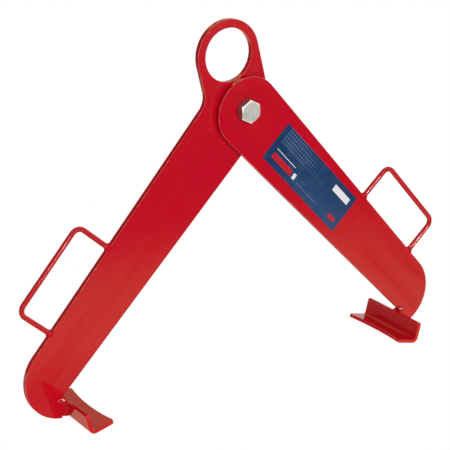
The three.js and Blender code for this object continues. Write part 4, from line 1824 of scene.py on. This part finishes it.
@dataclass
class Studio:
    """Floor, world, lamps and camera, as in the photograph's white studio.

    What the glossy paint mirrors is toned by place. For a tone, a pair is where it sets in and where it is
    full, and a triple is the middle, half width and softness of its band.
    """

    camera_place: Triple = (-0.96732, -1.41755, 0.80660)
    camera_way: Triple = (0.52112, 0.78246, -0.34087)
    lens: float = 126.41
    sensor: float = 36.0
    clip: Pair = (0.05, 60.0)
    ambient: float = 0.40
    floor_side: float = 14.0
    floor_white: float = 0.96
    floor_shadow: float = 0.12
    floor_colour: float = 0.8
    fore: Pair = (-0.2, 0.0)
    dim_start: Pair = (0.26, 0.50)
    dim_end: Pair = (0.95, 1.60)
    dim_rest: float = 0.6
    dim_share: float = 0.95
    dim_side: Pair = (0.30, 0.44)
    side_share: float = 0.50
    tone_change: Pair = (-0.06, -0.02)
    warm: Colour = (1.14, 0.97, 0.47)
    mild: Colour = (1.60, 1.00, 0.72)
    under_band: Triple = (0.03, 0.10, 0.10)
    under_side: Pair = (0.10, -0.10)
    contact: float = 0.45
    inner_band: Triple = (0.18, 0.12, 0.10)
    inner_side: Pair = (-0.22, -0.14)
    inner: float = 0.76
    back_start: Pair = (0.58, 0.70)
    back_end: Pair = (0.95, 1.35)
    back_side: Pair = (0.15, -0.15)
    back_rest: float = 0.1
    back_share: float = 0.85
    foot_place: float = 0.235
    foot_reach: Pair = (0.0010, 0.0026)
    bounce: float = 0.35
    bounce_reach: Pair = (0.75, 0.30)
    wall_start: Pair = (-0.1, 0.2)
    wall_top: Pair = (0.10, 0.36)
    wall_side: Pair = (-0.02, -0.26)
    upper: Colour = (0.92, 0.84, 0.50)
    corner: Colour = (0.26, 0.175, 0.10)
    glint: Colour = (3.4, 1.70, 0.80)
    glint_across: Triple = (0.04, 0.03, 0.04)
    glint_up: Triple = (0.60, 0.05, 0.06)
    lamps: tuple[Lamp, ...] = (
        Lamp("key", (-0.3, -2.6, 1.2), (1.6, 1.6), 46.5),
        Lamp("fill", (0.9, 2.6, 1.1), (1.6, 1.6), 10.0),
        Lamp("streak_front", (0.194, -2.473, 1.179), (0.104, 0.24), 13.0, 0.28, 39.0, True),
        Lamp("streak_rear", (-0.587, -2.583, 0.572), (0.140, 0.24), 7.0, 0.28, 39.0, True),
    )

    def camera(self) -> None:
        """Places the camera, level and looking along its way."""
        data = bpy.data.cameras.new("camera")
        data.lens, data.sensor_width = self.lens, self.sensor
        data.clip_start, data.clip_end = self.clip
        camera = bpy.data.objects.new("camera", data)
        camera.location = self.camera_place
        camera.rotation_mode = "QUATERNION"
        camera.rotation_quaternion = Vector(self.camera_way).to_track_quat("-Z", "Y")
        bpy.context.scene.collection.objects.link(camera)
        bpy.context.scene.camera = camera

    def mirrored(self, s: Shader, x: Socket, y: Socket) -> Socket:
        """How much darker the floor shows in gloss: ahead of the grab, close under it, and far behind.

        Args:
            s: The shader.
            x: Place on the floor, left to right.
            y: Place on the floor, front to back.

        Returns:
            The loss of brightness.
        """
        ahead = 0.0 - y
        bright = (1 - ahead.step(*self.dim_start)) * (1 - x.step(*self.dim_side) * self.side_share)
        dim = (1 - bright) * (1 - ahead.step(*self.dim_end) * self.dim_rest) * ahead.step(*self.fore)
        back = y.step(*self.back_start) * (1 - y.step(*self.back_end) * self.back_rest)
        back = back * x.step(*self.back_side)
        under = y.band(*self.under_band) * x.step(*self.under_side) * self.contact
        close = under.maths("MAXIMUM", y.band(*self.inner_band) * x.step(*self.inner_side) * self.inner)
        return s.ray("Glossy") * (dim * self.dim_share + back * self.back_share + close)

    def floor(self) -> None:
        """A wide white floor that keeps a soft shadow.

        Away from the claws' feet a camera ray passes on to the white behind it, so that a leg which swings
        below the feet stays in sight.
        """
        side = self.floor_side
        mesh = bpy.data.meshes.new("floor")
        corners = [(-side, -side, 0), (side, -side, 0), (side, side, 0), (-side, side, 0)]
        mesh.from_pydata(corners, [], [(0, 1, 2, 3)])
        s = Shader("white_floor")
        at = s.place()
        x, y = (s.along(at, axis) for axis in "XY")
        plain, faint = (
            s.add("ShaderNodeBsdfDiffuse", {}, {"Color": (grey, grey, grey, 1)})
            for grey in (self.floor_colour, self.floor_shadow)
        )
        away = s.vector("LENGTH", at, (0, 0, 0), "Value")
        near = s.add("ShaderNodeEmission", {}, {"Strength": away.step(*self.bounce_reach) * self.bounce})
        tone = s.mix(s.ray("Glossy"), WHITE, s.mix(y.step(*self.tone_change), self.warm, self.mild))
        strength = self.floor_white - self.mirrored(s, x, y)
        glow = s.add("ShaderNodeEmission", {}, {"Color": tone, "Strength": strength})
        lit = s.add("ShaderNodeAddShader", {}, {0: plain, 1: near})
        pale = s.add("ShaderNodeAddShader", {}, {0: faint, 1: glow})
        along = x.maths("ABSOLUTE") - self.foot_place
        past = (along * along + y * y).step(*self.foot_reach) * s.ray("Camera")
        surface = s.blend(past, s.blend(s.seen(), lit, pale), s.add("ShaderNodeBsdfTransparent"))
        s.add("ShaderNodeOutputMaterial", {}, {"Surface": surface})
        mesh.materials.append(s.owner)
        floor = bpy.data.objects.new("floor", mesh)
        bpy.context.scene.collection.objects.link(floor)

    def world(self) -> None:
        """White for what is seen, greyer overhead in gloss, and a plain level for what only lights."""
        world = bpy.data.worlds.new("studio")
        bpy.context.scene.world = world
        s = Shader("studio", world)
        way = s.add("ShaderNodeTexCoord", out="Generated")
        x, y, z = (s.along(way, axis) for axis in "XYZ")
        behind = y.step(*self.wall_start)
        wall = s.mix(z.step(*self.wall_top), WHITE, self.upper)
        wall = s.mix(x.step(*self.wall_side) * behind, wall, self.corner)
        wall = s.mix(x.band(*self.glint_across) * z.band(*self.glint_up) * behind, wall, self.glint)
        strength = self.ambient + s.seen() * (1.0 - self.ambient)
        values = {"Color": s.mix(s.ray("Glossy"), WHITE, wall), "Strength": strength}
        s.add("ShaderNodeOutputWorld", {}, {"Surface": s.add("ShaderNodeBackground", {}, values)})

    def build(self) -> None:
        """Sets up everything that isn't the grab."""
        self.camera()
        self.floor()
        self.world()
        for lamp in self.lamps:
            lamp.build()
        bpy.context.scene.view_settings.view_transform = "Standard"


def main() -> None:
    """Builds the grab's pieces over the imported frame, then the studio."""
    logging.basicConfig(level=logging.INFO, format="%(message)s")
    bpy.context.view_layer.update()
    pivot = Pivot.found()
    shop = Workshop(pivot)
    rear, front = make_legs(pivot)
    Studio().build()
    for leg in (rear, front):
        for part in (LegPlate, Claw, Handle):
            part(leg, shop).build()
    Label(front, shop).build()
    PivotSet(pivot, shop).build()


if __name__ == "__main__":
    main()
